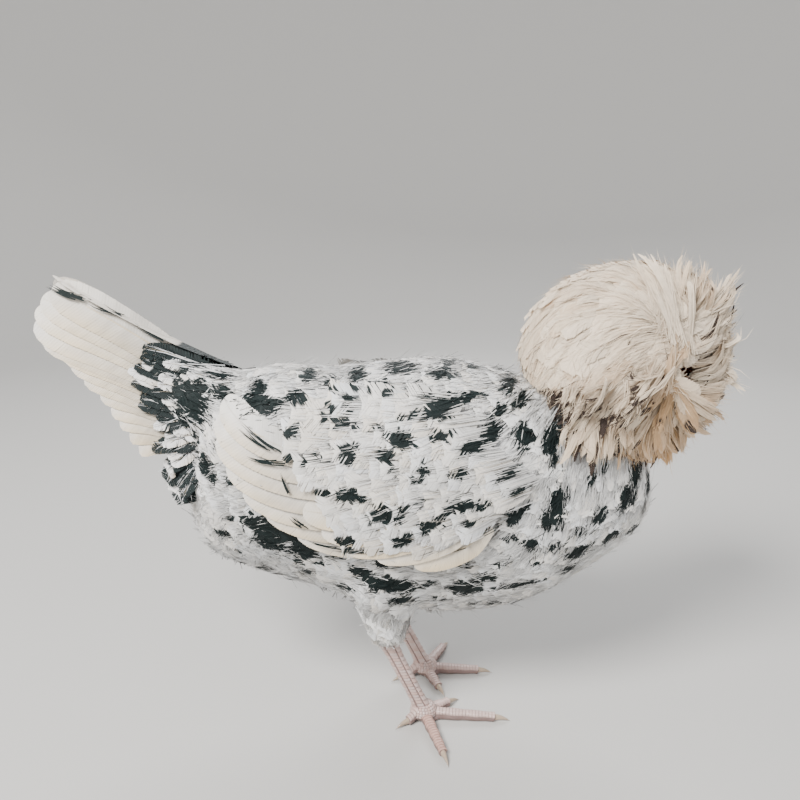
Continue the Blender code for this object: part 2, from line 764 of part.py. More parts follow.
def wing_sheet(x, z):
    """How far the folded wing's inner vanes lie from the middle plane at a point."""
    behind, before, low, high = WING_SHEET_BEND
    ahead = x - WING_SHEET_MIDDLE[0]
    above = z - WING_SHEET_MIDDLE[1]
    over = (before if ahead > 0 else behind) * ahead**2 + (high if above > 0 else low) * above**2
    return max(WING_SHEET_WIDTH - over, torso_half_width(x, z) + WING_CLEARANCE)


def tail_tent(x, z):
    """How far the tail's side lies from the middle plane at a point."""
    return TENT_TOP + TENT_SLOPE * max(TAIL_TOP(x) - z, 0)


def sheet_vane(sheet, side, root, tip, half_width, bow, layers, outline):
    """A vane on one side's sheet, from root to tip as (x, z), its lower edge over the next vane."""
    chord = tip - root
    below = Vector((chord.y, -chord.x)).normalized()
    if below.y > 0:
        below = -below
    handle = (root + tip) / 2 + below * bow * 2
    rows = []
    for t, wide in outline:
        point = root * (1 - t) ** 2 + handle * 2 * t * (1 - t) + tip * t * t
        along = (handle - root) * (1 - t) + (tip - handle) * t
        down = Vector((along.y, -along.x)).normalized()
        if down.y > 0:
            down = -down
        layer = layers[0] + (layers[1] - layers[0]) * t
        row = []
        for place, over in ((1, 1), (-1, 1), (-1, -1), (1, -1)):
            spot = point + down * place * half_width * wide
            lift = layer + SHINGLE_TILT * place * wide + over * VANE_THICKNESS / 2
            row.append(Vector((spot.x, side * (sheet(spot.x, spot.y) + lift), spot.y)))
        rows.append(row)
    return vane_mesh(rows)


def tier_vanes(sheet, side, tiers, draw):
    """All vanes of the tiers on one side."""
    vanes = []
    for roots, tips, count, half_width, bow, root_layer, tip_layer, outline in tiers:
        lines = [Line(*((k / (len(ends) - 1), pair[axis]) for k, pair in enumerate(ends)))
                 for ends in (roots, tips) for axis in (0, 1)]
        for i in range(count):
            values = [line(i / (count - 1)) for line in lines]
            root = Vector(values[:2])
            tip = Vector(values[2:])
            tip += (tip - root) * draw.uniform(-0.03, 0.02)
            wide = half_width * draw.uniform(0.94, 1.06)
            vanes.append(sheet_vane(sheet, side, root, tip, wide, bow, (root_layer, tip_layer), outline))
    return vanes


def wing_core(name, side):
    """The shoulder and covert mass that the wing's vanes root in."""
    rings = []
    rows = 8
    count = 6
    for i in range(rows + 1):
        t = (1 - math.cos(math.pi * i / rows)) / 2
        x = WING_CORE_BACK + (WING_CORE_FRONT - WING_CORE_BACK) * t
        low, high = WING_CORE_LOW(x), WING_CORE_HIGH(x)
        outer = []
        inner = []
        for j in range(count):
            level = j / (count - 1)
            z = low + (high - low) * level
            across = 1 - abs(2 * level - 1) ** WING_CORE_EDGE_POWER
            rounding = math.sqrt(across * (1 - t**WING_CORE_EDGE_POWER))
            outer.append(Vector((x, side * (wing_sheet(x, z) + WING_CORE_THICKNESS * rounding), z)))
            seat = torso_half_width(x, z) * 0.6 + wing_sheet(x, z) * 0.4 - WING_CORE_SEAT
            inner.append(Vector((x, side * seat, z)))
        rings.append(outer + inner[::-1])
    return mesh_object(name, skin_over(rings))


def build_wings():
    for label, side in SIDES:
        wing = wing_core("wing_" + label, side)
        fuse(wing, tier_vanes(wing_sheet, side, WING_TIERS, random.Random(11)))
        carve(wing, [grown(torso_shape())])
        finish(wing, white_feather())


def build_tail():
    stations = [((x, 0, z), wide, high, high) for x, z, wide, high in TAIL_CORE]
    tail = mesh_object("tail", skin_over(limb(stations, TAIL_CORE_RINGS, TAIL_CORE_SIDES)))
    draw = random.Random(5)
    fuse(tail, [vane for _, side in SIDES for vane in tier_vanes(tail_tent, side, TAIL_TIERS, draw)])
    carve(tail, [grown(torso_shape())])
    finish(tail, white_feather())


def thigh_shape(name, side):
    rings = []
    lines = [Line(*((-z, value) for z, *values in THIGH for value in [values[k]])) for k in range(3)]
    for i in range(THIGH_RINGS):
        z = THIGH[0][0] + (THIGH[-1][0] - THIGH[0][0]) * i / (THIGH_RINGS - 1)
        x, wide, long = (line(-z) for line in lines)
        rings.append([Vector((x + long * math.cos(a), side * THIGH_OUT + wide * math.sin(a), z))
                      for a in np.linspace(0, math.tau, THIGH_SIDES + 1)[:-1]])
    return mesh_object(name, skin_over(rings))


def build_thighs():
    for label, side in SIDES:
        thigh = thigh_shape("thigh_" + label, side)
        carve(thigh, [grown(torso_shape())])
        finish(thigh, white_feather())


def foot_middle(label, side):
    return Vector((FOOT_X[label], side * FOOT_OUT[label], 0))


def shank_rings(label, side):
    """Level rings down the shank, its front stepped into scutes."""
    top = Vector((SHANK_TOP_X, side * THIGH_OUT, THIGH[-1][0] - GAP))
    low = foot_middle(label, side) + UP * SHANK_LOW
    rings = []
    for i in range(SHANK_SCUTES):
        for t, step in ((i / SHANK_SCUTES, 0.0), ((i + 0.82) / SHANK_SCUTES, SCUTE_STEP)):
            middle = top.lerp(low, t)
            points = []
            for a in np.linspace(0, math.tau, SHANK_SIDES + 1)[:-1]:
                raised = step * max(math.cos(a), 0)
                points.append(middle + Vector(((SHANK_HALF_LENGTH(t) + raised) * math.cos(a),
                                               (SHANK_HALF_WIDTH(t) + raised) * math.sin(a), 0)))
            rings.append(points)
    return rings


def toe_run(label, side, toe):
    """Where a toe starts and ends on the floor."""
    forward, outward, scutes = TOES[label][toe]
    reach = Vector((forward, side * outward, 0))
    middle = foot_middle(label, side)
    start = middle + reach.normalized() * TOE_START
    end = middle + reach - reach.normalized() * CLAW_LENGTH
    return start, end, scutes


def toe_shape(label, side, toe, name):
    """A toe with a flat sole and its scutes as steps across its top."""
    start, end, scutes = toe_run(label, side, toe)
    lift = HIND_TOE_LIFT if toe == "hind" else 0.0
    along = (end - start).normalized()
    rings = []
    for i in range(scutes):
        for t, step in ((i / scutes, 0.0), ((i + 0.8) / scutes, SCUTE_STEP)):
            rings.append(toe_ring(start.lerp(end, t), along, t, step, lift * (1 - t) ** 2))
    rings.append(toe_ring(end, along, 1.0, 0.0, 0.0))
    return mesh_object(name, skin_over(rings))


def toe_ring(middle, along, t, step, lift):
    wide = TOE_HALF_WIDTH[0] + (TOE_HALF_WIDTH[1] - TOE_HALF_WIDTH[0]) * t
    high = TOE_HEIGHT[0] + (TOE_HEIGHT[1] - TOE_HEIGHT[0]) * t
    side = along.cross(UP)
    outline = ((0.62, 0.0), (1.0, 0.45), (0.55, 0.93), (-0.55, 0.93), (-1.0, 0.45), (-0.62, 0.0))
    points = []
    for across, level in outline:
        raised = step if level > 0.5 else 0.0
        points.append(middle + side * wide * across + UP * (lift + high * level + raised))
    return points


def claw_shape(label, side, toe, name):
    start, end, _ = toe_run(label, side, toe)
    along = (end - start).normalized()
    rings = []
    root_height = TOE_HEIGHT[1] * CLAW_ROOT_LEVEL
    for i in range(CLAW_STEPS):
        t = i / CLAW_STEPS
        height = root_height * (1 - t**CLAW_BEND) + CLAW_TIP_HEIGHT * t
        middle = end + along * (GAP + CLAW_LENGTH * t * 0.98) + UP * height
        radius = CLAW_RADIUS * (1 - t) ** CLAW_POINT
        drop = min(radius, middle.z)
        points = ring(middle, along, radius * 0.85, radius, drop, CLAW_SIDES)
        rings.append(points)
    rings.append([end + along * (GAP + CLAW_LENGTH) + UP * 0.0004])
    return mesh_object(name, skin_over(rings))


def web_shape(label, side, first, second):
    """A thin web across the fork of two toes."""
    middle = foot_middle(label, side)
    corners = [middle]
    for toe in (first, second):
        start, end, _ = toe_run(label, side, toe)
        corners.append(middle + (end - start).normalized() * WEB_REACH)
    hollow = (corners[1] + corners[2]) / 2 * 0.72 + middle * 0.28
    corners.insert(2, hollow)
    rings = [[corner + UP * height for corner in corners] for height in WEB_HEIGHTS]
    return mesh_object("web", skin_over(rings))


def build_feet():
    for label, side in SIDES:
        shank = mesh_object("shank_" + label, skin_over(shank_rings(label, side)))
        pad = ball(foot_middle(label, side) + UP * PAD_SIZE.z * 0.9, PAD_SIZE, 12, 8)
        for vert in pad.verts:
            vert.co.z = max(vert.co.z, 0)
        pieces = [mesh_object("pad", pad)]
        pieces += [web_shape(label, side, "inner", "middle"), web_shape(label, side, "middle", "outer")]
        fuse(shank, pieces)
        carve(shank, [grown(toe_shape(label, side, toe, "toe_cutter")) for toe in TOES[label]])
        finish(shank, shank_skin())
        for toe in TOES[label]:
            made = toe_shape(label, side, toe, f"toe_{label}_{toe}")
            if toe != "middle":
                carve(made, [grown(toe_shape(label, side, "middle", "toe_cutter"))])
            finish(made, shank_skin())
            finish(claw_shape(label, side, toe, f"claw_{label}_{toe}"), horn())


def build_hen():
    remove_everything()
    finish(torso_shape(), white_feather())
    build_neck()
    build_head()
    build_eyes()
    build_beak()
    build_face()
    build_comb()
    build_crest()
    build_wings()
    build_tail()
    build_thighs()
    build_feet()
    hen = bpy.data.objects.new("hen", None)
    bpy.context.scene.collection.objects.link(hen)
    for obj in bpy.context.scene.collection.objects:
        if obj is not hen:
            obj.parent = hen


build_hen()
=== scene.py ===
"""Looks of a mottled polish crested hen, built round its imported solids.

Every feather is a mesh vane that roots in one skin. Metres, +Z up, beak towards +X,
the hen's right side towards -Y.
"""

import functools
import math

import bmesh
import bpy
import numpy as np
from bpy.props import FloatProperty, FloatVectorProperty, PointerProperty
from mathutils import Matrix, Vector
from mathutils.bvhtree import BVHTree
from mathutils.kdtree import KDTree


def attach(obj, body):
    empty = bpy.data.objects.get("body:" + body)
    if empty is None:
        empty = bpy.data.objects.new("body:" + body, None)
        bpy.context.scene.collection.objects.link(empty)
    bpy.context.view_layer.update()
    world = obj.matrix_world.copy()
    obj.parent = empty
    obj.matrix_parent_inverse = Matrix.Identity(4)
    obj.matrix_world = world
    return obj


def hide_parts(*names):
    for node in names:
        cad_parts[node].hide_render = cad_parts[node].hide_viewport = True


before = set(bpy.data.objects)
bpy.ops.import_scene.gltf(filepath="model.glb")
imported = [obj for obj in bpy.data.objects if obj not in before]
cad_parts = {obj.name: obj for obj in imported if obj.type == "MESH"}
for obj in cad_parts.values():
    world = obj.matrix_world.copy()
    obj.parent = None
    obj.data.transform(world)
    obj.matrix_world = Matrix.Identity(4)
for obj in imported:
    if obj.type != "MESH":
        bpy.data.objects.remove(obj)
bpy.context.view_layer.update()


bl_info = {
    "name": "Crested Hen",
    "version": (1, 0, 0),
    "blender": (4, 5, 0),
    "location": "View3D > Sidebar > Hen",
    "description": "Skin, feathers, face and feet of a mottled crested hen",
    "category": "Add Mesh",
}

SIDES = (("right", -1), ("left", 1))
UP = np.array((0.0, 0.0, 1.0))
BAKE_MAP = "OFBake"
FEATHER_PATCH = 0.003  # width of each feather's patch of that map
BARB_WAVES = 330  # fine lines along a feather
SEEDS = {"body": 3, "crest": 17, "wings": 23, "tail": 29, "strewn": 30, "far": 31, "lines": 37, "face": 41}


class Line:
    """A smooth line through a few (position, value) pairs that never swings past them."""

    def __init__(self, *pairs):
        self.at, self.value = np.array(pairs, float).T
        rise = np.diff(self.value) / np.diff(self.at)
        self.slope = np.zeros(len(pairs))
        self.slope[0] = rise[0]
        self.slope[-1] = rise[-1]
        for i in range(1, len(rise)):
            if rise[i - 1] * rise[i] > 0:
                self.slope[i] = 2 * rise[i - 1] * rise[i] / (rise[i - 1] + rise[i])

    def __call__(self, position):
        position = np.asarray(position, float)
        i = np.clip(np.searchsorted(self.at, position) - 1, 0, len(self.at) - 2)
        span = self.at[i + 1] - self.at[i]
        t = np.clip((position - self.at[i]) / span, 0, 1)
        ease = t * t * (3 - 2 * t)
        start = t * (1 - t) ** 2 * self.slope[i] * span
        end = t * t * (t - 1) * self.slope[i + 1] * span
        return self.value[i] * (1 - ease) + self.value[i + 1] * ease + start + end


# Torso, by lines along the hen's length: middle height, half height and half width
TORSO_BACK = -0.151
TORSO_FRONT = 0.201
TORSO_MIDDLE = Line(
    (-0.150, 0.197), (-0.100, 0.204), (-0.030, 0.193), (0.050, 0.189), (0.120, 0.186), (0.200, 0.188))
TORSO_HALF_HEIGHT = Line(
    (-0.150, 0.086), (-0.060, 0.088), (0.040, 0.100), (0.090, 0.094), (0.150, 0.070), (0.200, 0.050))
TORSO_HALF_WIDTH = Line(
    (-0.150, 0.056), (-0.070, 0.067), (0.030, 0.070), (0.110, 0.066), (0.160, 0.056), (0.200, 0.046))
TORSO_END_ROUNDNESS = 3.4
TORSO_SECTION_POWER = 2.15
TORSO_KEEL_TAPER = 0.10

# Neck, head and tail root, as (x, z, half width, half height), and thigh, as (z, x, half width, half length)
NECK = (
    (0.098, 0.222, 0.048, 0.044), (0.128, 0.233, 0.047, 0.043), (0.157, 0.244, 0.042, 0.041),
    (0.182, 0.257, 0.033, 0.035), (0.203, 0.276, 0.015, 0.016),
)
HEAD = (
    (0.1765, 0.2835, 0.0040, 0.0045), (0.1820, 0.2832, 0.0108, 0.0115), (0.1930, 0.2825, 0.0150, 0.0165),
    (0.2060, 0.2810, 0.0166, 0.0186), (0.2190, 0.2790, 0.0152, 0.0170), (0.2290, 0.2765, 0.0122, 0.0138),
    (0.2360, 0.2740, 0.0092, 0.0108), (0.2400, 0.2728, 0.0050, 0.0060),
)
TAIL_CORE = (
    (-0.108, 0.238, 0.030, 0.038), (-0.140, 0.247, 0.027, 0.040), (-0.170, 0.268, 0.017, 0.027),
    (-0.194, 0.286, 0.006, 0.010),
)
THIGH = (
    (0.146, -0.004, 0.030, 0.040), (0.122, -0.003, 0.027, 0.031), (0.104, -0.003, 0.021, 0.0205),
    (0.088, -0.001, 0.0165, 0.0165), (0.079, 0.000, 0.0140, 0.0145), (0.073, -0.001, 0.0105, 0.0105),
)
SKULL_KNOB = (0.2020, 0, 0.2990)
SKULL_KNOB_RADIUS = 0.0125

# Face
EYE = np.array((0.2200, 0.0122, 0.2820))
EYE_RADIUS = 0.0050
EYE_OUTWARDS = np.array((0.12, 1.0, 0.05))
LID_RING_RADIUS = 0.0045
LID_THICKNESS = 0.0012
LID_LIFT = 0.0026
LID_FLATNESS = 0.86
MOUTH_BACK = np.array((0.2363, 0, 0.2688))
MOUTH_FRONT = np.array((0.2535, 0, 0.2622))
BEAK_TIP = np.array((0.2562, 0, 0.2592))
BEAK_HALF_WIDTH = 0.0078
BEAK_RISE = Line((0, 0.0092), (0.45, 0.0078), (0.85, 0.0048), (1, 0.0030))
BEAK_DROP = Line((0, 0.0046), (1, 0.0012))
NOSTRIL = np.array((0.2415, 0.0066, 0.2742))
NOSTRIL_SIZE = np.array((0.0026, 0.0030, 0.0014))
LOBE = np.array((0.2100, 0.0158, 0.2680))
LOBE_SIZE = np.array((0.0038, 0.0024, 0.0058))
WATTLE = np.array((0.2325, 0.0068, 0.2580))
WATTLE_SIZE = np.array((0.0048, 0.0021, 0.0082))
COMB_ROOT = np.array((0.2335, 0.0024, 0.2835))
COMB_TIP = np.array((0.2322, 0.0072, 0.2945))
COMB_RADIUS = 0.0026
COMB_TAPER = np.array((1.1, 1.05, 1.1, 1.0, 0.92, 0.8, 0.7, 0.5, 0.25))
COMB_SINK = UP * 0.003

# Crest: a globe of long feathers that root on the skull and fall away from a whorl
CREST_MIDDLE = np.array((0.1800, 0, 0.2900))
CREST_SIZE = np.array((0.0835, 0.0720, 0.0770))
CREST_CORE = np.array((0.1900, 0, 0.3080))
CREST_CORE_SIZE = np.array((0.0370, 0.0300, 0.0240))
CREST_SWIRL = math.radians(16)
CREST_FLAT_FRONT = 0.115
# Each side's whorl, and the parting through it, along which the feathers start
CREST_WHORL = np.array((0.13, 0.97, 0.22))
CREST_PARTING = (-0.30, 0.42)
PARTING_SLOPE = np.array((-0.25, 0.0, 1.0))
CREST_LAYERS = ((1.15, 0.985, 1.0), (0.55, 0.915, 0.45))  # density, reach, fullness
LOOSENING = np.array([0.6, 1, 1, 1.8])[:, None]  # how far fine barbs stray from root to tip

# Wing sheet and tail tent, on which the long feathers lie
WING_SHEET_WIDTH = 0.0745
WING_SHEET_MIDDLE = (0.030, 0.215)
WING_SHEET_BEND = (1.40, 3.60, 3.00, 7.00)
WING_CLEARANCE = 0.0034
WING_CORE_LOW = Line((-0.040, 0.222), (-0.010, 0.186), (0.035, 0.173), (0.070, 0.184), (0.092, 0.206))
WING_CORE_HIGH = Line((-0.040, 0.250), (0.000, 0.266), (0.050, 0.264), (0.092, 0.222))
TAIL_TOP = Line((-0.262, 0.352), (-0.246, 0.351), (-0.200, 0.328), (-0.152, 0.297), (-0.120, 0.285))
TENT_TOP = 0.0040
TENT_SLOPE = 0.33

# Legs
THIGH_OUT = 0.032
FOOT = {"right": np.array((0.028, -0.0265, 0)), "left": np.array((0.031, 0.0355, 0))}
SHANK_TOP = np.array((-0.001, 0.032, 0.0727))
SHANK_LOW = 0.008
SHANK_HALF_WIDTH = Line((0.0, 0.0060), (0.25, 0.0048), (0.75, 0.0048), (1.0, 0.0060))
SHANK_HALF_LENGTH = Line((0.0, 0.0078), (0.25, 0.0064), (0.75, 0.0062), (1.0, 0.0076))
PAD_SIZE = (0.0105, 0.0100, 0.0080)
TOES = {
    "right": {"inner": (0.0310, -0.0230), "middle": (0.0700, 0.0050), "outer": (0.0170, 0.0585),
              "hind": (-0.0230, 0.0160)},
    "left": {"inner": (0.0160, -0.0370), "middle": (0.0600, -0.0010), "outer": (0.0240, 0.0475),
             "hind": (-0.0300, -0.0150)},
}
JOINTS = {"inner": 2, "middle": 3, "outer": 4, "hind": 1}
# Rows of scutes round a shank, as (angle, half spread, how many)
SHANK_ROWS = ((0.42, 0.50, 15), (-0.42, 0.50, 15), (math.pi - 0.5, 0.55, 19), (math.pi + 0.5, 0.55, 19),
              (1.45, 0.42, 24), (-1.45, 0.42, 24))
SCUTE_DEPTH = 0.0007
TOE_START = 0.0075
TOE_HALF_WIDTH = (0.0044, 0.0031)
TOE_HEIGHT = (0.0090, 0.0064)
HIND_TOE_LIFT = 0.0045
WEB_LENGTH = 0.019
WEB_MIDDLE = 0.0062
WEB_LEVELS = (0.0012, 0.0036)
CLAW_LENGTH = 0.0125
CLAW_RADIUS = 0.0028

# Width of each kind of feather along it, as (place, share of its half width)
BODY_VANE = ((0.0, 0.40), (0.25, 0.80), (0.55, 1.0), (0.78, 0.94), (0.90, 0.74), (0.97, 0.46), (1.0, 0.20))
HACKLE_VANE = ((0.0, 0.45), (0.35, 0.95), (0.65, 0.90), (0.88, 0.60), (1.0, 0.20))
LONG_VANE = ((0.0, 0.42), (0.25, 0.88), (0.70, 1.0), (0.84, 0.92), (0.92, 0.72), (0.975, 0.42), (1.0, 0.16))
CREST_VANE = ((0.0, 0.30), (0.35, 0.80), (0.70, 1.0), (0.86, 0.86), (0.95, 0.58), (1.0, 0.18))
WISP_VANE = ((0.0, 0.40), (0.4, 0.95), (0.75, 0.80), (1.0, 0.16))

# Groups of crest feathers: spacing and pull of their clumps, shape, half width, barbs, share of dark feathers
# and of dark fine barbs
CREST_GROUPS = {
    "dome": (0.018, 0.25, CREST_VANE, 0.0070, 18, 0.0, 0.045),
    "crown": (0.016, 0.30, CREST_VANE, 0.0056, 18, 0.0, 0.045),
    "fringe": (0.012, 0.40, WISP_VANE, 0.0036, 17, 0.40, 0.50),
    "low": (0.015, 0.55, WISP_VANE, 0.0034, 17, 0.14, 0.16),
    "front": (0.013, 0.50, WISP_VANE, 0.0028, 17, 0.10, 0.14),
}

BARB_HALF_WIDTH = 0.00036  # of the fine barbs over the body's feathers
SHAFT_HALF_WIDTH = 0.0005
SHAFT_LIFT = 0.0004

# How vanes are cut: gaps between barbs, shares of open splits, ragged ends, points, and how cupped they are
CREST_CUT = {"gap": 0.0, "split": 0.02, "fray": 0.35, "spike": 0.4, "cup": 0.18, "edge": 0.06}
LOCK_CUT = {"barbs": 18, "gap": 0.0, "split": 0.0, "fray": 0.35, "spike": 0.3, "cup": 0.2, "edge": 0.05}
COVERT_CUT = {"barbs": 16, "gap": 0.02, "split": 0.07, "fray": 0.3, "spike": 0.35, "cup": 0.10}
BODY_CUT = {"barbs": 16, "gap": 0.0, "split": 0.04, "fray": 0.3, "spike": 0.5, "cup": 0.12}
HACKLE_CUT = {"barbs": 18, "gap": 0.04, "split": 0.14, "fray": 0.35, "spike": 0.5, "cup": 0.14}
FLUFF_CUT = {"gap": 0.3, "split": 0.3, "fray": 0.9, "spike": 1.6}
QUILL_CUT = {"gap": 0.0, "split": 0.0, "fray": 0.06, "spike": 0.15, "cup": 0.05}
TAIL_COVERT_CUT = {"gap": 0.03, "split": 0.06, "fray": 0.3, "spike": 0.5, "cup": 0.05}

# Tiers of the wing: places that roots and tips follow as (x, z) in millimetres, how many, half width, bow,
# lift of roots and tips over the sheet, shape, barbs, stain
WING_TIERS = (
    (((-22, 238), (-6, 208), (36, 182)),
     ((-116, 266), (-121, 243), (-98, 210), (-64, 183)),
     7, 0.0122, 0.011, (0.0006, 0.0010), LONG_VANE, 44, 0.30),
    (((44, 210), (56, 198), (72, 188)), ((-56, 198), (-28, 172), (20, 162)),
     5, 0.0112, 0.008, (0.0022, 0.0030), LONG_VANE, 36, 0.45),
)
# Ways of the coverts over the wing, high and low on it
COVERT_WAY = ((-1.0, -0.05), (-1.0, -0.30))

# Tiers of the tail, in the same terms as the wing's
TAIL_TIERS = (
    (((-143, 279), (-146, 254), (-148, 232)),
     ((-246, 345), (-256, 320), (-228, 297), (-200, 264), (-180, 237)),
     13, 0.0128, -0.003, (0.0, 0.0), LONG_VANE, 44, 0.36),
    (((-124, 282), (-132, 256), (-140, 230)),
     ((-169, 298), (-182, 282), (-176, 256), (-160, 214)),
     17, 0.0066, -0.001, (0.0014, 0.0034), HACKLE_VANE, 26, 0.12),
    (((-116, 278), (-126, 254), (-134, 222)), ((-164, 290), (-162, 250), (-147, 200)),
     16, 0.0066, -0.001, (0.0030, 0.0048), HACKLE_VANE, 24, 0.08),
    (((-104, 274), (-114, 250), (-126, 222)), ((-146, 282), (-147, 244), (-137, 196)),
     15, 0.0066, -0.001, (0.0044, 0.0060), HACKLE_VANE, 22, 0.08),
    (((-150, 226), (-150, 220), (-149, 208)), ((-165, 210), (-158, 201), (-149, 192)),
     6, 0.0080, 0.001, (-0.0040, -0.0045), BODY_VANE, 18, 0.15),
)

# Dark spots of the right side, as (x, z, length, width, tilt), in millimetres and degrees
SPOTS = (
    (-90, 265, 28, 10, 10), (-92, 275, 14, 9, 0), (-65, 272, 14, 4, 15), (-42, 265, 8, 8, 0),
    (-26, 273, 14, 3, 0), (-29, 258, 12, 7, 20), (-26, 237, 12, 9, 40), (-30, 244, 14, 2, 10),
    (8, 249, 18, 9, -20), (-1, 237, 12, 8, 10), (4, 228, 3, 13, 0), (14, 263, 14, 4, 15),
    (32, 264, 18, 8, -5), (40, 270, 21, 6, 0), (-9, 256, 7, 3, 0), (36, 251, 15, 7, 15),
    (57, 243, 16, 8, 5), (47, 226, 13, 6, 0), (24, 230, 6, 7, 0), (19, 221, 9, 3, 15),
    (-25, 210, 22, 7, -3), (-44, 212, 14, 2, 0), (1, 196, 23, 10, 15), (16, 204, 20, 5, 25),
    (-5, 204, 11, 3, 0), (30, 189, 16, 8, 10), (56, 191, 12, 5, 15), (54, 203, 25, 6, 0),
    (-79, 181, 36, 25, 0), (-67, 178, 22, 28, 0), (-86, 169, 32, 18, -22), (-60, 160, 26, 15, -22),
    (-97, 181, 14, 11, 0), (-64, 153, 6, 13, -10),
    (-30, 175, 24, 5, 0), (-36, 163, 11, 10, 0), (-3, 154, 22, 6, -10), (-17, 143, 25, 10, -35),
    (2, 135, 36, 12, -5), (53, 166, 10, 8, 40), (55, 152, 11, 4, 0), (56, 130, 22, 13, 0),
    (12, 120, 22, 6, -5), (72, 251, 15, 8, 25), (83, 225, 16, 5, 30), (96, 247, 13, 13, 40),
    (116, 243, 20, 11, 60), (156, 223, 13, 4, 75), (183, 211, 19, 9, 75), (174, 195, 19, 12, 65),
    (153, 185, 13, 9, 65), (89, 212, 12, 7, 40), (87, 191, 11, 10, 0), (96, 197, 15, 3, 30),
    (120, 200, 22, 13, 75), (112, 186, 16, 5, -80), (122, 185, 11, 4, -80), (107, 153, 10, 7, -80),
    (139, 156, 20, 9, 15), (135, 140, 13, 6, 20), (165, 165, 15, 6, 35), (71, 140, 12, 7, 0),
    (95, 131, 37, 4, 8), (-22, 283, 12, 5, 0), (34, 266, 21, 7, 0), (88, 276, 12, 6, 20),
    (38, 285, 19, 4, 0), (9, 287, 22, 4, 0), (23, 276, 14, 4, -10), (-5, 278, 16, 4, 0),
    (-42, 279, 10, 4, 0), (-58, 282, 12, 4, 0), (58, 272, 17, 4, 5), (95, 267, 14, 5, 25),
    (79, 263, 11, 4, 20), (123, 257, 13, 6, 45), (133, 240, 11, 6, 60), (145, 213, 13, 4, 75),
    (196, 198, 14, 5, 80), (117, 229, 10, 4, 60), (-75, 291, 27, 6, 0), (-38, 290, 10, 5, 0),
    (65, 288, 12, 4, 0), (45, 291, 10, 4, 0), (190, 226, 12, 5, 70),
    (-144, 264, 32, 19, -60), (-149, 242, 27, 15, -60), (-132, 221, 14, 10, -60), (-126, 213, 10, 4, -70),
    (-160, 274, 19, 12, -50), (-138, 274, 22, 10, -40), (-129, 283, 22, 7, -20), (-152, 225, 15, 7, -60),
    (-167, 235, 10, 6, -60), (-119, 269, 15, 7, -30),
)
SPOT_GROWTH = 1.13
FAR_SIDE_SHIFT = 9.0
# Dark lines between the long feathers of the right wing and over the tail, in the same terms: partly real
# dark wisps, partly painted shade in the gaps between the feathers
WING_WISP_AND_SHADE_LINES = (
    (-90, 247, 36, 3.6, -30), (-84, 233, 30, 2.6, -6), (-70, 218, 15, 2.6, -70), (-62, 190, 14, 2.6, -40),
    (-44, 172, 26, 2.6, -12), (-20, 168, 30, 2.4, 4),
)
TAIL_WISP_AND_SHADE_LINES = ((-232, 341, 30, 4.0, -22), (-206, 329, 26, 2.0, -27), (-176, 312, 26, 2.4, -30))

# Locks of the crest: root and tip in millimetres, how many feathers, half width and spread of the tips in
# tenths of one, stain, and share of dark ones. A lock whose share is 1 is dark from root to tip and lies
# deeper than the pale locks beside it: painted shade in the gaps between them.
LOCKS = (
    ((228.5, 19, 285), (250, 29, 280), 18, 24, 45, 0, 0),
    ((228, 20, 279), (243, 27, 269), 9, 22, 40, 0.2, 0.5),
    ((201, 33, 279), (233, 34, 255), 24, 26, 75, 0.8, 0),
    ((193, 37, 281), (220, 35, 236), 24, 26, 75, 0.9, 0),
    ((198, 29, 276), (224, 28, 243), 14, 24, 70, 0.5, 1),
    ((194, 30, 276), (211, 28, 229), 16, 26, 80, 0.5, 1),
    ((186, 40, 283), (204, 37, 218), 22, 26, 65, 0.85, 0),
    ((186, 32, 278), (193, 33, 224), 14, 26, 80, 0.5, 1),
    ((178, 43, 282), (187, 43, 227), 20, 26, 75, 0.8, 0),
    ((172, 38, 274), (177, 40, 225), 14, 26, 80, 0.4, 1),
    ((169, 46, 281), (171, 49, 227), 18, 28, 75, 0.6, 0.1),
    ((160, 41, 270), (161, 45, 229), 14, 26, 90, 0.3, 1),
    ((157, 49, 279), (155, 53, 230), 18, 28, 75, 0.45, 0.1),
    ((148, 45, 272), (144, 50, 234), 14, 26, 90, 0.2, 1),
    ((148, 51, 276), (139, 56, 229), 16, 28, 75, 0.3, 0.15),
    ((138, 48, 270), (129, 54, 240), 14, 24, 90, 0.1, 1),
    ((138, 52, 273), (123, 58, 240), 14, 28, 75, 0.15, 0.25),
    ((180, 71.5, 299), (156, 74, 270), 10, 14, 100, 0.3, 0.99),
    ((148, 66, 288), (130, 65, 262), 9, 13, 90, 0.2, 0.99),
    ((164, 71, 282), (148, 71, 256), 9, 14, 90, 0.3, 0.99),
    ((130, 59, 280), (116, 57, 256), 7, 13, 80, 0.2, 0.99),
    ((198, 60, 310), (188, 62, 270), 22, 26, 90, 0.55, 0.1),
    ((196, 59, 300), (198, 54, 260), 20, 24, 80, 0.65, 0.1),
    ((196, 60, 312), (176, 34, 370), 16, 24, 50, 0.05, 0),
    ((204, 56, 306), (190, 34, 364), 14, 24, 60, 0.05, 0),
    ((206, 46, 336), (208, 28, 366), 12, 20, 60, 0.3, 0.2),
    ((212, 43, 330), (226, 27, 360), 12, 18, 60, 0.4, 0.25),
    ((216, 40, 323), (243, 26, 348), 12, 16, 48, 0.1, 0.4),
    ((218, 38, 316), (248, 25, 331), 12, 16, 48, 0.05, 0.4),
    ((219, 35, 306), (250, 25, 315), 12, 16, 45, 0, 0.4),
    ((222, 32, 299), (249, 26, 299), 10, 18, 50, 0, 0.3),
    ((220, 30, 313), (245, 22, 323), 10, 20, 60, 0, 0.7),
    ((221, 28, 305), (244, 21, 307), 10, 20, 60, 0, 0.7),
)

# Camera, and the room that feathers leave round its line of sight to an eye
CAMERA = np.array((0.009, -0.568, 0.400))
CAMERA_PITCH = math.radians(90 - 14)
LENS = 34.56
SENSOR = 36
EYE_OPENING = 0.0108

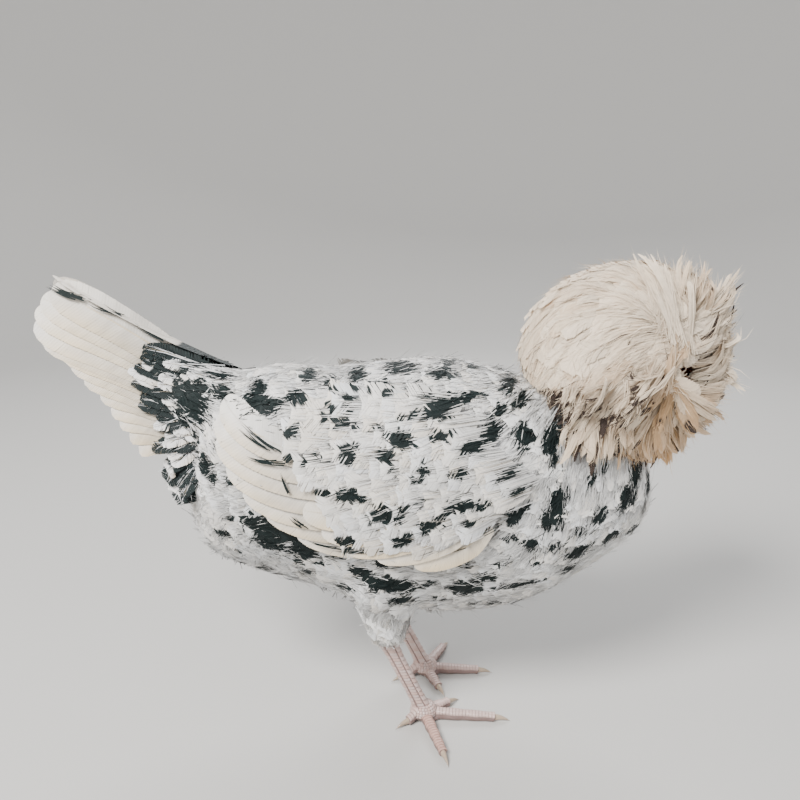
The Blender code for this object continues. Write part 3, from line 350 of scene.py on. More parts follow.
# Stage: the floor's outline as (radius, height), and lights as (name, place, diameter, watts, colour)
BACKDROP = ((0, 0), (0.9, 0), (1.7, 0), (1.9, 0.02), (2.08, 0.08), (2.24, 0.18), (2.38, 0.32), (2.48, 0.5),
            (2.54, 0.7), (2.56, 1.0), (2.56, 1.7))
LIGHTS = (
    ("key", (-0.8, -1.15, 1.6), 0.8, 82, (1.0, 0.985, 0.96)),
    ("fill", (1.5, -1.1, 0.8), 1.4, 9, (0.95, 0.975, 1.0)),
    ("back", (0.3, 1.4, 1.4), 1.0, 24, (1, 1, 1)),
)
LIGHT_TARGET = (0.02, 0, 0.18)
SKY = (0.90, 0.93, 1.0, 1)
SKY_STRENGTH = 0.62


def length_property(name, default, description):
    return FloatProperty(name=name, default=default, description=description, unit="LENGTH")


def colour_property(name, default, description):
    return FloatVectorProperty(name=name, default=default, description=description, subtype="COLOR")


class HenSizes(bpy.types.PropertyGroup):
    """Sizes of the coat."""

    coat_depth: length_property("Coat Depth", 0.0050, "How deep the skin lies under the feathers' tips")
    body_spacing: length_property("Body Spacing", 0.0062, "Distance between body feathers")
    body_length: length_property("Body Length", 0.031, "Length of a body feather")
    body_half_width: length_property("Body Half Width", 0.0078, "Half the width of a body feather")
    crest_spacing: length_property("Crest Spacing", 0.0070, "Distance between the tips of crest feathers")
    skin_detail: length_property("Skin Detail", 0.00066, "Smallest form in the skin of head and feet")


class HenColours(bpy.types.PropertyGroup):
    """Colours of the hen."""

    white: colour_property("White", (0.78, 0.79, 0.80), "White feathers of the body")
    cream: colour_property("Cream", (0.78, 0.64, 0.44), "Stained feathers of wings and tail")
    ivory: colour_property("Ivory", (0.84, 0.715, 0.565), "Pale feathers of the crest")
    buff: colour_property("Buff", (0.52, 0.31, 0.145), "Stained feathers low on the crest")
    black: colour_property("Black", (0.005, 0.008, 0.008), "Dark spots")
    brown: colour_property("Brown", (0.024, 0.017, 0.014), "Dark streaks of the crest")
    skin: colour_property("Skin", (0.52, 0.40, 0.36), "Skin under the feathers")
    face: colour_property("Face", (0.36, 0.075, 0.060), "Bare skin of the face")
    lobe: colour_property("Lobe", (0.72, 0.62, 0.55), "Ear lobes")
    shank: colour_property("Shank", (0.25, 0.17, 0.155), "Skin of shanks and toes")
    scute: colour_property("Scute", (0.56, 0.44, 0.41), "Scutes of shanks and toes")
    horn: colour_property("Horn", (0.55, 0.43, 0.32), "Beak and claws")
    iris: colour_property("Iris", (0.50, 0.12, 0.03), "Iris of the eyes")
    floor: colour_property("Floor", (0.52, 0.51, 0.49), "Floor and backdrop")


class Wire:
    """A node's output that takes part in Python sums, which add Math nodes."""

    def __init__(self, finish, socket):
        self.finish = finish
        self.socket = socket

    def math(self, operation, *others):
        return self.finish.node("ShaderNodeMath", {"operation": operation}, dict(enumerate((self, *others))))

    def __add__(self, other):
        return self.math("ADD", other)

    def __sub__(self, other):
        return self.math("SUBTRACT", other)

    def __mul__(self, other):
        return self.math("MULTIPLY", other)

    def __rsub__(self, other):
        return self.finish.node("ShaderNodeMath", {"operation": "SUBTRACT"}, {0: other, 1: self})

    __radd__ = __add__
    __rmul__ = __mul__

    def smooth(self, low, high):
        """0 below low and 1 above high, eased between them."""
        return self.finish.node("ShaderNodeMapRange", {"interpolation_type": "SMOOTHSTEP"},
                                {"Value": self, "From Min": low, "From Max": high})


class Finish:
    """A material, with one method for any node."""

    def __init__(self, name, roughness, constants=None):
        self.material = bpy.data.materials.new(name)
        self.material.use_nodes = True
        self.tree = self.material.node_tree
        self.shader = self.tree.nodes["Principled BSDF"]
        for socket, value in {"Roughness": roughness, **(constants or {})}.items():
            self.shader.inputs[socket].default_value = value

    def node(self, kind, settings=None, inputs=None, output=0):
        made = self.tree.nodes.new(kind)
        for name, value in (settings or {}).items():
            setattr(made, name, value)
        for key, value in (inputs or {}).items():
            self.feed(made.inputs[key], value)
        return Wire(self, made.outputs[output])

    def feed(self, socket, value):
        if isinstance(value, Wire):
            self.tree.links.new(value.socket, socket)
        elif socket.type == "RGBA":
            socket.default_value = (*value[:3], 1)
        else:
            socket.default_value = value

    def surface(self, **values):
        for name, value in values.items():
            self.feed(self.shader.inputs[name.replace("_", " ").title()], value)
        return self.material

    def mix(self, share, first, second, blend="MIX"):
        return self.node("ShaderNodeMix", {"data_type": "RGBA", "blend_type": blend},
                         {0: share, 6: first, 7: second}, 2)

    def varied(self, share, colour, least, most):
        """The colour from its least to its most bright by the share."""
        return self.mix(share, *(tuple(value * gain for value in colour) for gain in (least, most)))

    def grey(self, value):
        return self.node("ShaderNodeCombineColor", {}, {0: value, 1: value, 2: value})

    def attribute(self, name):
        return self.node("ShaderNodeAttribute", {"attribute_name": name}, output=2)

    def place(self):
        return self.node("ShaderNodeTexCoord", output=3)

    def noise(self, scale, detail=2.0, stretch=(1, 1, 1)):
        spread = self.node("ShaderNodeMapping", {}, {"Vector": self.place(), "Scale": stretch})
        return self.node("ShaderNodeTexNoise", {}, {"Vector": spread, "Scale": scale, "Detail": detail})

    def bump(self, height, distance, strength=1.0):
        return self.node("ShaderNodeBump", {}, {"Height": height, "Distance": distance, "Strength": strength})


def colours():
    return bpy.context.scene.hen_colours


def sizes():
    return bpy.context.scene.hen_sizes


def plumage(name, light, stained, dark, ragged, painted_root_shade):
    """Feathers of two light tones and a dark one, by what each corner carries, with painted shade towards
    each feather's root.
    """
    finish = Finish(name, 0.62, {"Specular IOR Level": 0.14})
    barb, rim, tone = (finish.attribute(key) for key in ("barb", "rim", "tone"))
    fine = (barb * BARB_WAVES).math("SINE") * 0.5 + 0.5
    along = finish.node("ShaderNodeCombineXYZ", {}, {0: barb * 15, 1: tone * 29, 2: rim * 0.9})
    streak = finish.node("ShaderNodeTexNoise", {}, {"Vector": along, "Scale": 1.0, "Detail": 2.0}) - 0.5
    mark = (finish.attribute("mark") + streak * ragged).smooth(0.34, 0.60)
    base = finish.mix(finish.attribute("warm"), light, stained)
    # Painted shade: each feather darkens towards its root, where the feather before it covers it, partly also
    # greyer down there; painted_root_shade sets how deep. Random tone, streaks and barb lines are multiplied
    # in as well.
    tone_and_painted_shade = barb.smooth(0.35, 0.95) * painted_root_shade + (1 - painted_root_shade) + tone * 0.04 + streak * 0.36 - fine * 0.03
    base = finish.mix(1.0, base, finish.grey(tone_and_painted_shade), "MULTIPLY")
    shaft = 1 - rim.smooth(0.0, 0.10)
    base = finish.mix(shaft * 0.30, base, (0.42, 0.34, 0.24))
    deep = finish.varied((fine + streak).smooth(0.2, 1.3), dark, 1, 4.5)
    colour = finish.mix(mark, base, deep)
    return finish.surface(Base_Color=colour, Roughness=0.64 - mark * 0.14,
                          Normal=finish.bump(fine, 0.0002, 0.4))


def body_plumage():
    shades = colours()
    return plumage("body_plumage", shades.white, shades.cream, shades.black, ragged=0.60, painted_root_shade=0.27)


def crest_plumage():
    shades = colours()
    return plumage("crest_plumage", shades.ivory, shades.buff, shades.brown, ragged=0.08, painted_root_shade=0.22)


@functools.cache
def skin_finish():
    """Pale skin, red face and scaly legs, by what each corner carries."""
    finish = Finish("bare_skin", 0.48, {"Subsurface Weight": 0.08, "Subsurface Scale": 0.004})
    spread = finish.noise(420, 4)
    face = finish.varied(spread, colours().face, 0.7, 1.5)
    leg = finish.varied(finish.noise(160, 3), colours().shank, 0.72, 1.2)
    colour = finish.mix(finish.attribute("leg"), colours().skin, leg)
    colour = finish.mix(finish.attribute("face"), colour, face)
    pebbles = finish.node("ShaderNodeTexVoronoi", {}, {"Vector": finish.place(), "Scale": 900.0})
    return finish.surface(Base_Color=colour, Roughness=0.5 + spread * 0.15,
                          Normal=finish.bump(pebbles, 0.0003, 0.6))


def lobe_finish():
    finish = Finish("lobe_skin", 0.55, {"Subsurface Weight": 0.15, "Subsurface Scale": 0.003})
    spread = finish.noise(500, 3)
    colour = finish.varied(spread, colours().lobe, 0.8, 1.1)
    return finish.surface(Base_Color=colour, Normal=finish.bump(spread, 0.0003, 0.6))


def scute_finish():
    finish = Finish("scutes", 0.42, {"Coat Weight": 0.12})
    spread = finish.noise(260, 4)
    base = finish.varied(spread, colours().scute, 0.78, 1.18)
    rosy = finish.mix(1.0, base, (0.93, 0.72, 0.64), "MULTIPLY")
    colour = finish.mix(finish.attribute("tone"), base, rosy)
    return finish.surface(Base_Color=colour, Normal=finish.bump(spread, 0.0002, 0.5))


def horn_finish():
    finish = Finish("horn", 0.34, {"Coat Weight": 0.2, "Subsurface Weight": 0.05, "Subsurface Scale": 0.002})
    growth = finish.noise(700, 2, (0.25, 1, 1))
    dark = finish.attribute("tone")
    base = finish.varied(growth, colours().horn, 0.8, 1.15)
    return finish.surface(Base_Color=finish.mix(dark * 0.7, base, (0.09, 0.065, 0.05)),
                          Normal=finish.bump(growth, 0.0001, 0.5))


def eye_finish():
    """Pupil, iris with its fine spokes, and dark rim, by the share of the way out from the pupil's middle."""
    finish = Finish("eye", 0.05, {"Coat Weight": 1.0, "Coat Roughness": 0.02})
    away = finish.attribute("tone")
    spokes = finish.noise(1500, 2)
    iris = finish.varied(spokes, colours().iris, 0.6, 1.6)
    colour = finish.mix(away.smooth(0.36, 0.40), (0.004, 0.004, 0.004), iris)
    return finish.surface(Base_Color=finish.mix(away.smooth(0.78, 0.86), colour, (0.02, 0.012, 0.010)))


def mixed_share(share, low, high):
    return low + (high - low) * share


def unit(vectors):
    return vectors / np.maximum(np.linalg.norm(vectors, axis=-1, keepdims=True), 1e-9)


def ramp(value, low, high):
    """0 at low and 1 at high, eased between them."""
    share = np.clip((value - low) / (high - low), 0, 1)
    return share * share * (3 - 2 * share)


def joined(*parts):
    """Arrays or numbers side by side, as the last axis of one array."""
    return np.stack(np.broadcast_arrays(*parts), axis=-1)


def powered(value, power):
    """The value's power, with its sign kept."""
    return np.sign(value) * abs(value) ** power


def along_surface(way, normals):
    """Directions laid into the planes square to the normals."""
    return unit(way - normals * np.sum(way * normals, axis=-1, keepdims=True))


def mirrored(point, side):
    return point * np.array((1, side, 1))


def sideways(side, count):
    return np.tile((0.0, side, 0.0), (count, 1))


def upright(flat):
    """Places of (x, z) as points of the middle plane."""
    return joined(flat[..., 0], 0, flat[..., 1])


def read(items, name, width, kind=np.float64):
    values = np.empty(len(items) * width, np.float32 if kind == np.float64 else kind)
    items.foreach_get(name, values)
    return values.astype(kind).reshape(-1, width)


def mesh_from(name, points, faces):
    """A mesh of points and faces, given as arrays or lists."""
    mesh = bpy.data.meshes.new(name)
    mesh.from_pydata([tuple(point) for point in points], [], [tuple(int(i) for i in face) for face in faces])
    mesh.update()
    return mesh


def store_attribute(mesh, name, values):
    layer = mesh.attributes.new(name, "FLOAT", "POINT")
    layer.data.foreach_set("value", np.asarray(values, np.float32))


def placed(name, data):
    """A new object in the scene."""
    obj = bpy.data.objects.new(name, data)
    bpy.context.scene.collection.objects.link(obj)
    return obj


def piece(name, mesh, material, slot, *replaced):
    """The mesh as a piece at the origin that rides on the hen and replaces the named solids."""
    obj = placed(name, mesh)
    mesh.materials.clear()
    mesh.materials.append(material)
    mesh.shade_smooth()
    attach(obj, "root")
    if replaced:
        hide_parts(*replaced)
    return obj


def ring_angles(sides):
    return math.tau * (np.arange(sides) + 0.5) / sides


def rings_along(stations, count, sides):
    """Rings of points through stations of (x, y, z, half width, rise, drop)."""
    at = np.linspace(0, len(stations) - 1, count)
    rows = joined(*(Line(*enumerate(column))(at) for column in np.array(stations, float).T))
    middle = rows[:, :3]
    along = unit(np.gradient(middle, axis=0))
    side = unit(np.cross(along, UP))
    above = np.cross(side, along)
    across, high = np.cos(ring_angles(sides)), np.sin(ring_angles(sides))
    height = np.where(high > 0, rows[:, 4:5], rows[:, 5:6]) * high
    aside = side[:, None] * (rows[:, 3:4] * across)[..., None]
    return middle[:, None] + aside + above[:, None] * height[..., None]


def level_rings(middles, half_long, half_wide, sides):
    """Level ellipses round the middles."""
    angle = ring_angles(sides)
    long, wide = half_long[:, None] * np.cos(angle), half_wide[:, None] * np.sin(angle)
    return middles[:, None] + joined(long, wide, 0)


def closed(rings):
    """Points and faces of a closed shape over rings of points."""
    count, sides = rings.shape[:2]
    points = np.concatenate([rings.reshape(-1, 3), rings[:1].mean(axis=1), rings[-1:].mean(axis=1)])
    faces = []
    for j in range(sides):
        k = (j + 1) % sides
        faces += [(i + j, i + k, i + sides + k, i + sides + j) for i in range(0, (count - 1) * sides, sides)]
        faces.append((k, j, count * sides))
        faces.append(((count - 1) * sides + j, (count - 1) * sides + k, count * sides + 1))
    return points, faces


def ball(middle, size, segments=32, rows=20):
    """Points and faces of a ball of three half sizes."""
    bm = bmesh.new()
    place = Matrix.LocRotScale(Vector(middle), None, Vector(size))
    bmesh.ops.create_uvsphere(bm, u_segments=segments, v_segments=rows, radius=1, matrix=place)
    points = np.array([vert.co for vert in bm.verts])
    faces = [tuple(vert.index for vert in face.verts) for face in bm.faces]
    bm.free()
    return points, faces


def together(shapes):
    points = []
    faces = []
    for corners, more in shapes:
        start = sum(map(len, points))
        points.append(corners)
        faces += [tuple(i + start for i in face) for face in more]
    return np.concatenate(points), faces


def outwards(mesh):
    bm = bmesh.new()
    bm.from_mesh(mesh)
    bmesh.ops.recalc_face_normals(bm, faces=bm.faces)
    bm.to_mesh(mesh)
    bm.free()
    return mesh


def modified(mesh, *modifiers):
    """A new mesh with the modifiers applied, each given as its type and its settings."""
    obj = placed("form", mesh)
    for kind, settings in modifiers:
        modifier = obj.modifiers.new(kind, kind)
        for name, value in settings.items():
            setattr(modifier, name, value)
    bpy.context.view_layer.update()
    result = bpy.data.meshes.new_from_object(obj.evaluated_get(bpy.context.evaluated_depsgraph_get()))
    bpy.data.objects.remove(obj, do_unlink=True)
    return result


def merged(shapes, detail, rounds):
    """One closed surface round all the shapes, smoothed."""
    mesh = outwards(mesh_from("form", *together(shapes)))
    return modified(mesh, ("REMESH", {"mode": "VOXEL", "voxel_size": detail}),
                    ("SMOOTH", {"factor": 0.5, "iterations": rounds}))


def torso_section(x):
    """Middle height, half height and half width of the torso's section at x."""
    middle = (TORSO_BACK + TORSO_FRONT) / 2
    reach = np.minimum(np.abs(x - middle) / (TORSO_FRONT - middle), 1.0)
    closing = (1 - reach**TORSO_END_ROUNDNESS) ** (1 / TORSO_END_ROUNDNESS)
    return TORSO_MIDDLE(x), TORSO_HALF_HEIGHT(x) * closing, TORSO_HALF_WIDTH(x) * closing


def torso_half_width(x, z):
    """How far the torso's side stands from the middle plane at a point."""
    middle, high, wide = torso_section(x)
    level = np.clip((z - middle) / np.maximum(high, 1e-6), -1, 1)
    inside = 1 - np.abs(level) ** TORSO_SECTION_POWER
    return wide * inside ** (1 / TORSO_SECTION_POWER) * (1 + TORSO_KEEL_TAPER * level)


def torso_form():
    turn = math.pi * (np.arange(60) + 0.5) / 60
    x = (TORSO_BACK + TORSO_FRONT) / 2 - (TORSO_FRONT - TORSO_BACK) / 2 * np.cos(turn)
    middle, high, wide = torso_section(x)
    cosine, sine = np.cos(ring_angles(56)), np.sin(ring_angles(56))
    across, level = powered(cosine, 2 / TORSO_SECTION_POWER), powered(sine, 2 / TORSO_SECTION_POWER)
    y = wide[:, None] * across * (1 + TORSO_KEEL_TAPER * level)
    z = middle[:, None] + high[:, None] * level
    return closed(joined(x[:, None], y, z))


def oval_form(rows, count, sides):
    """A closed shape through rows of (x, z, half width, half height) in the middle plane."""
    return closed(rings_along([(x, 0, z, wide, high, high) for x, z, wide, high in rows], count, sides))


def thigh_form(side):
    z = np.linspace(THIGH[0][0], THIGH[-1][0], 22)
    x, wide, long = (Line(*((-row[0], row[k]) for row in THIGH))(-z) for k in (1, 2, 3))
    return closed(level_rings(joined(x, side * THIGH_OUT, z), long, wide, 36))


def wing_sheet(x, z):
    """How far the folded wing's inner feathers lie from the middle plane at a point."""
    behind, before, low, high = WING_SHEET_BEND
    ahead = x - WING_SHEET_MIDDLE[0]
    above = z - WING_SHEET_MIDDLE[1]
    over = np.where(ahead > 0, before, behind) * ahead**2 + np.where(above > 0, high, low) * above**2
    return np.maximum(WING_SHEET_WIDTH - over, torso_half_width(x, z) + WING_CLEARANCE)


def tail_tent(x, z):
    """How far the tail's side lies from the middle plane at a point."""
    return TENT_TOP + TENT_SLOPE * np.maximum(TAIL_TOP(x) - z, 0)


def wing_flesh(side):
    """The arm of the folded wing, under its feathers."""
    rings = []
    for x in np.linspace(-0.036, 0.088, 20):
        low, high = WING_CORE_LOW(x) + 0.006, WING_CORE_HIGH(x) - 0.006
        z = np.linspace(low, high, 9)
        outer = joined(x, side * (wing_sheet(x, z) - 0.001), z)
        inner = joined(x, side * (torso_half_width(x, z) - 0.012), z)
        rings.append(np.concatenate([outer, inner[::-1]]))
    return closed(np.array(rings))


class Surface:
    """A closed surface that feathers are laid on."""

    def __init__(self, mesh):
        mesh.calc_loop_triangles()
        self.points = read(mesh.vertices, "co", 3)
        self.normals = read(mesh.vertices, "normal", 3)
        self.faces = read(mesh.loop_triangles, "vertices", 3, np.int32)
        self.tree = BVHTree.FromPolygons(self.points.tolist(), self.faces.tolist())

    def scatter(self, draw, spacing, keep):
        """Evenly spread points that keep() takes, with their normals."""
        corners = self.points[self.faces]
        edges = (corners[:, k] - corners[:, 0] for k in (1, 2))
        area = np.linalg.norm(np.cross(*edges), axis=1) / 2
        wanted = keep(corners.mean(axis=1))
        area = np.where(wanted, area, 0)
        number = int(area.sum() / spacing**2 * 7)
        chosen = self.faces[draw.choice(len(area), number, p=area / area.sum())]
        first, second = draw.random((2, number, 1))
        fold = first + second > 1
        first, second = np.where(fold, 1 - first, first), np.where(fold, 1 - second, second)
        weights = np.stack([1 - first - second, first, second])
        places = sum(weights[k] * self.points[chosen[:, k]] for k in range(3))
        normals = unit(sum(weights[k] * self.normals[chosen[:, k]] for k in range(3)))
        kept = thinned(places, spacing)
        return places[kept], normals[kept]

    def nearest(self, points):
        found = [self.tree.find_nearest(point) for point in points.tolist()]
        return np.array([hit[0] for hit in found]), np.array([hit[1] for hit in found])


def thinned(places, spacing):
    """Which of the places to keep so that none lie closer than the spacing."""
    tree = KDTree(len(places))
    for i, place in enumerate(places.tolist()):
        tree.insert(place, i)
    tree.balance()
    free = np.ones(len(places), bool)
    kept = []
    for i, place in enumerate(places.tolist()):
        if free[i]:
            kept.append(i)
            free[[found[1] for found in tree.find_range(place, spacing)]] = False
    return kept


@functools.cache
def coat_mesh():
    """The outside of torso, neck, tail root and thighs as one smooth surface."""
    forms = [torso_form(), oval_form(NECK, 26, 44), oval_form(TAIL_CORE, 26, 36),
             *(thigh_form(side) for _, side in SIDES)]
    return merged(forms, 0.0032, 8)


@functools.cache
def coat_surface():
    return Surface(coat_mesh())


@functools.cache
def wing_tree():
    """Both packed wings, for finding what they cover."""
    wings = [Surface(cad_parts["wing_" + label].data) for label, _ in SIDES]
    points, faces = together([(wing.points, wing.faces.tolist()) for wing in wings])
    return BVHTree.FromPolygons(points.tolist(), faces)


def under_wing(points):
    """Whether a wing lies over each point, as seen from that side."""
    hits = []
    for x, y, z in points.tolist():
        side = -1 if y < 0 else 1
        hit = wing_tree().ray_cast((x, side * 0.2, z), (0, -side, 0), 0.2)[0]
        hits.append(hit is not None and abs(hit.y) > abs(y))
    return np.array(hits)


def head_forms():
    """Fine shapes of skull, face, lids, comb and wattles."""
    forms = [oval_form(HEAD, 60, 64), ball(SKULL_KNOB, [SKULL_KNOB_RADIUS] * 3),
             ball(CREST_CORE - (0, 0, 0.006), CREST_CORE_SIZE * (0.55, 0.6, 0.62))]
    for _, side in SIDES:
        outwards_of_eye = unit(mirrored(EYE_OUTWARDS, side))
        across = unit(np.cross(outwards_of_eye, UP))
        above = np.cross(across, outwards_of_eye)
        middle = mirrored(EYE, side) + outwards_of_eye * LID_LIFT
        count, sides = 64, 12
        turn = np.linspace(0, math.tau, count + 1)[:-1]
        small = np.linspace(0, math.tau, sides + 1)[:-1]
        away = across * np.cos(turn)[:, None] + above * np.sin(turn)[:, None] * LID_FLATNESS
        rings = (middle + away[:, None] * (LID_RING_RADIUS + LID_THICKNESS * np.cos(small))[None, :, None]
                 + outwards_of_eye * (LID_THICKNESS * np.sin(small))[None, :, None])
        faces = [(i * sides + j, i * sides + (j + 1) % sides, (i + 1) % count * sides + (j + 1) % sides,
                  (i + 1) % count * sides + j) for i in range(count) for j in range(sides)]
        forms.append((rings.reshape(-1, 3), faces))
        forms.append(ball(mirrored(WATTLE, side), WATTLE_SIZE, 24, 16))
        root, tip = mirrored(COMB_ROOT, side), mirrored(COMB_TIP, side)
        along = np.linspace(0, 1, len(COMB_TAPER))[:, None]
        middles = root - COMB_SINK + (tip - root + COMB_SINK) * along
        radius = COMB_RADIUS * COMB_TAPER
        forms.append(closed(level_rings(middles, radius, radius, 20)))
    return forms


def fold_head(mesh):
    """Presses fine folds round the eyes and wrinkles on the face into the head's surface."""
    points = read(mesh.vertices, "co", 3)
    normals = read(mesh.vertices, "normal", 3)
    for _, side in SIDES:
        eye = mirrored(EYE, side)
        away = np.linalg.norm(points - eye, axis=1)
        folds = np.sin((away - 0.0060) / 0.0015 * math.tau) * np.exp(-((away - 0.0085) / 0.0032) ** 2)
        points += normals * (0.00022 * folds * (away > 0.0058))[:, None]
    x, _, z = points.T
    wrinkle = np.sin(x * 2300 + np.sin(z * 900) * 1.5) * ramp(x, 0.222, 0.232)
    points += normals * (0.00010 * wrinkle)[:, None]
    mesh.vertices.foreach_set("co", points.astype(np.float32).ravel())
    mesh.update()
    return mesh


def toe_run(label, side, toe):
    """Where a toe starts and ends on the floor."""
    forward, outward = TOES[label][toe]
    reach = np.array((forward, side * outward, 0))
    along = unit(reach)
    return FOOT[label] + along * TOE_START, FOOT[label] + reach - along * CLAW_LENGTH, along


def toe_frame(label, side, toe, t):
    """Middle of the sole, half width and height of a toe at shares t of its length."""
    start, end, along = toe_run(label, side, toe)
    swell = 1 + 0.09 * np.cos(math.tau * t * JOINTS[toe]) * ramp(t, 0, 0.15)
    wide = mixed_share(t, *TOE_HALF_WIDTH) * swell
    high = mixed_share(t, *TOE_HEIGHT) * (0.97 + 0.03 * swell)
    lift = HIND_TOE_LIFT * (1 - np.clip(t, 0, 1)) ** 2 if toe == "hind" else 0 * t
    middle = start + (end - start) * t[:, None] + UP * lift[:, None]
    return middle, wide, high, np.cross(along, UP)


def toe_section(angle):
    """Shares of a toe's half width and height at angles round it, flat below."""
    return powered(np.cos(angle), 0.8), np.clip(0.52 + 0.52 * np.sin(angle), 0.03, 1.0)


def toe_form(label, side, toe):
    t = np.concatenate([np.linspace(-0.12, 0.97, 54), [0.99, 1.01]])
    middle, wide, high, across = toe_frame(label, side, toe, t)
    closing = np.concatenate([np.ones(54), [0.85, 0.45]])
    side_share, level = toe_section(ring_angles(24))
    rings = (middle[:, None] + across * (wide * closing)[:, None, None] * side_share[None, :, None]
             + UP * (high[:, None] * (0.5 + (level[None] - 0.5) * closing[:, None]))[..., None])
    return closed(rings)


def shank_middle(label, side, t):
    top = mirrored(SHANK_TOP, side)
    low = FOOT[label] + UP * SHANK_LOW
    return top + (low - top) * t[:, None]


def foot_forms(label, side):
    t = np.linspace(-0.22, 1.03, 60)
    forms = [closed(level_rings(shank_middle(label, side, t), SHANK_HALF_LENGTH(t), SHANK_HALF_WIDTH(t), 32))]
    points, faces = ball(FOOT[label] + UP * PAD_SIZE[2] * 0.9, PAD_SIZE, 28, 18)
    points[:, 2] = np.maximum(points[:, 2], 0.0003)
    forms.append((points, faces))
    forms += [toe_form(label, side, toe) for toe in TOES[label]]
    for first, second in (("inner", "middle"), ("middle", "outer")):
        near, far = (toe_run(label, side, toe)[2] for toe in (first, second))
        corners = FOOT[label] + np.array(
            (0 * near, near * WEB_LENGTH, (near + far) * WEB_MIDDLE, far * WEB_LENGTH))
        forms.append(closed(np.array([corners + UP * height for height in WEB_LEVELS])))
    return forms


def colour_skin(mesh):
    """Says for each corner how much it is leg and how much it is bare red face."""
    x, _, z = read(mesh.vertices, "co", 3).T
    store_attribute(mesh, "leg", 1 - ramp(z, 0.078, 0.086))
    in_head = ramp(x, 0.200, 0.208) * (z > 0.235)
    crown = ramp(z, 0.292, 0.296) * (1 - ramp(x, 0.226, 0.230))
    store_attribute(mesh, "face", in_head * (1 - crown))


def build_skin():
    """One skin from beak to toes, under the coat by its depth."""
    depth = sizes().coat_depth
    outer, normals = coat_surface().points, coat_surface().normals
    deep = mixed_share(ramp(outer[:, 2], 0.074, 0.110), 0.0030, depth)[:, None]
    faces = [tuple(face.vertices) for face in coat_mesh().polygons]
    forms = [(outer - normals * deep, faces), *(wing_flesh(side) for _, side in SIDES)]
    skin = merged(forms, 0.0030, 3)
    head = fold_head(merged(head_forms(), sizes().skin_detail, 2))
    feet = [merged(foot_forms(label, side), sizes().skin_detail, 2) for label, side in SIDES]
    for part in (head, *feet):
        other = placed("part", part)
        skin = modified(skin, ("BOOLEAN", {"operation": "UNION", "solver": "MANIFOLD", "object": other}))
        bpy.data.objects.remove(other, do_unlink=True)
    if len(skin.polygons) < 1000:
        raise RuntimeError("the skin's parts didn't join")
    colour_skin(skin)
    names = ["torso", "neck", "head", "comb"]
    for label, _ in SIDES:
        names += ["thigh_" + label, "shank_" + label, "wattle_" + label]
        names += [f"toe_{label}_{toe}" for toe in TOES[label]]
    piece("skin", skin, skin_finish(), "face", *names)


def along_curve(handles, t):
    """Points and directions of cubic curves at t, carried on straight past their ends."""
    inside = np.clip(t, 0, 1)[..., None]
    before = 1 - inside
    p0, p1, p2, p3 = (handles[:, k, None] for k in range(4))
    point = before**3 * p0 + 3 * before**2 * inside * p1 + 3 * before * inside**2 * p2 + inside**3 * p3
    slope = 3 * (before**2 * (p1 - p0) + 2 * before * inside * (p2 - p1) + inside**2 * (p3 - p2))
    return point + slope * (t[..., None] - inside), slope


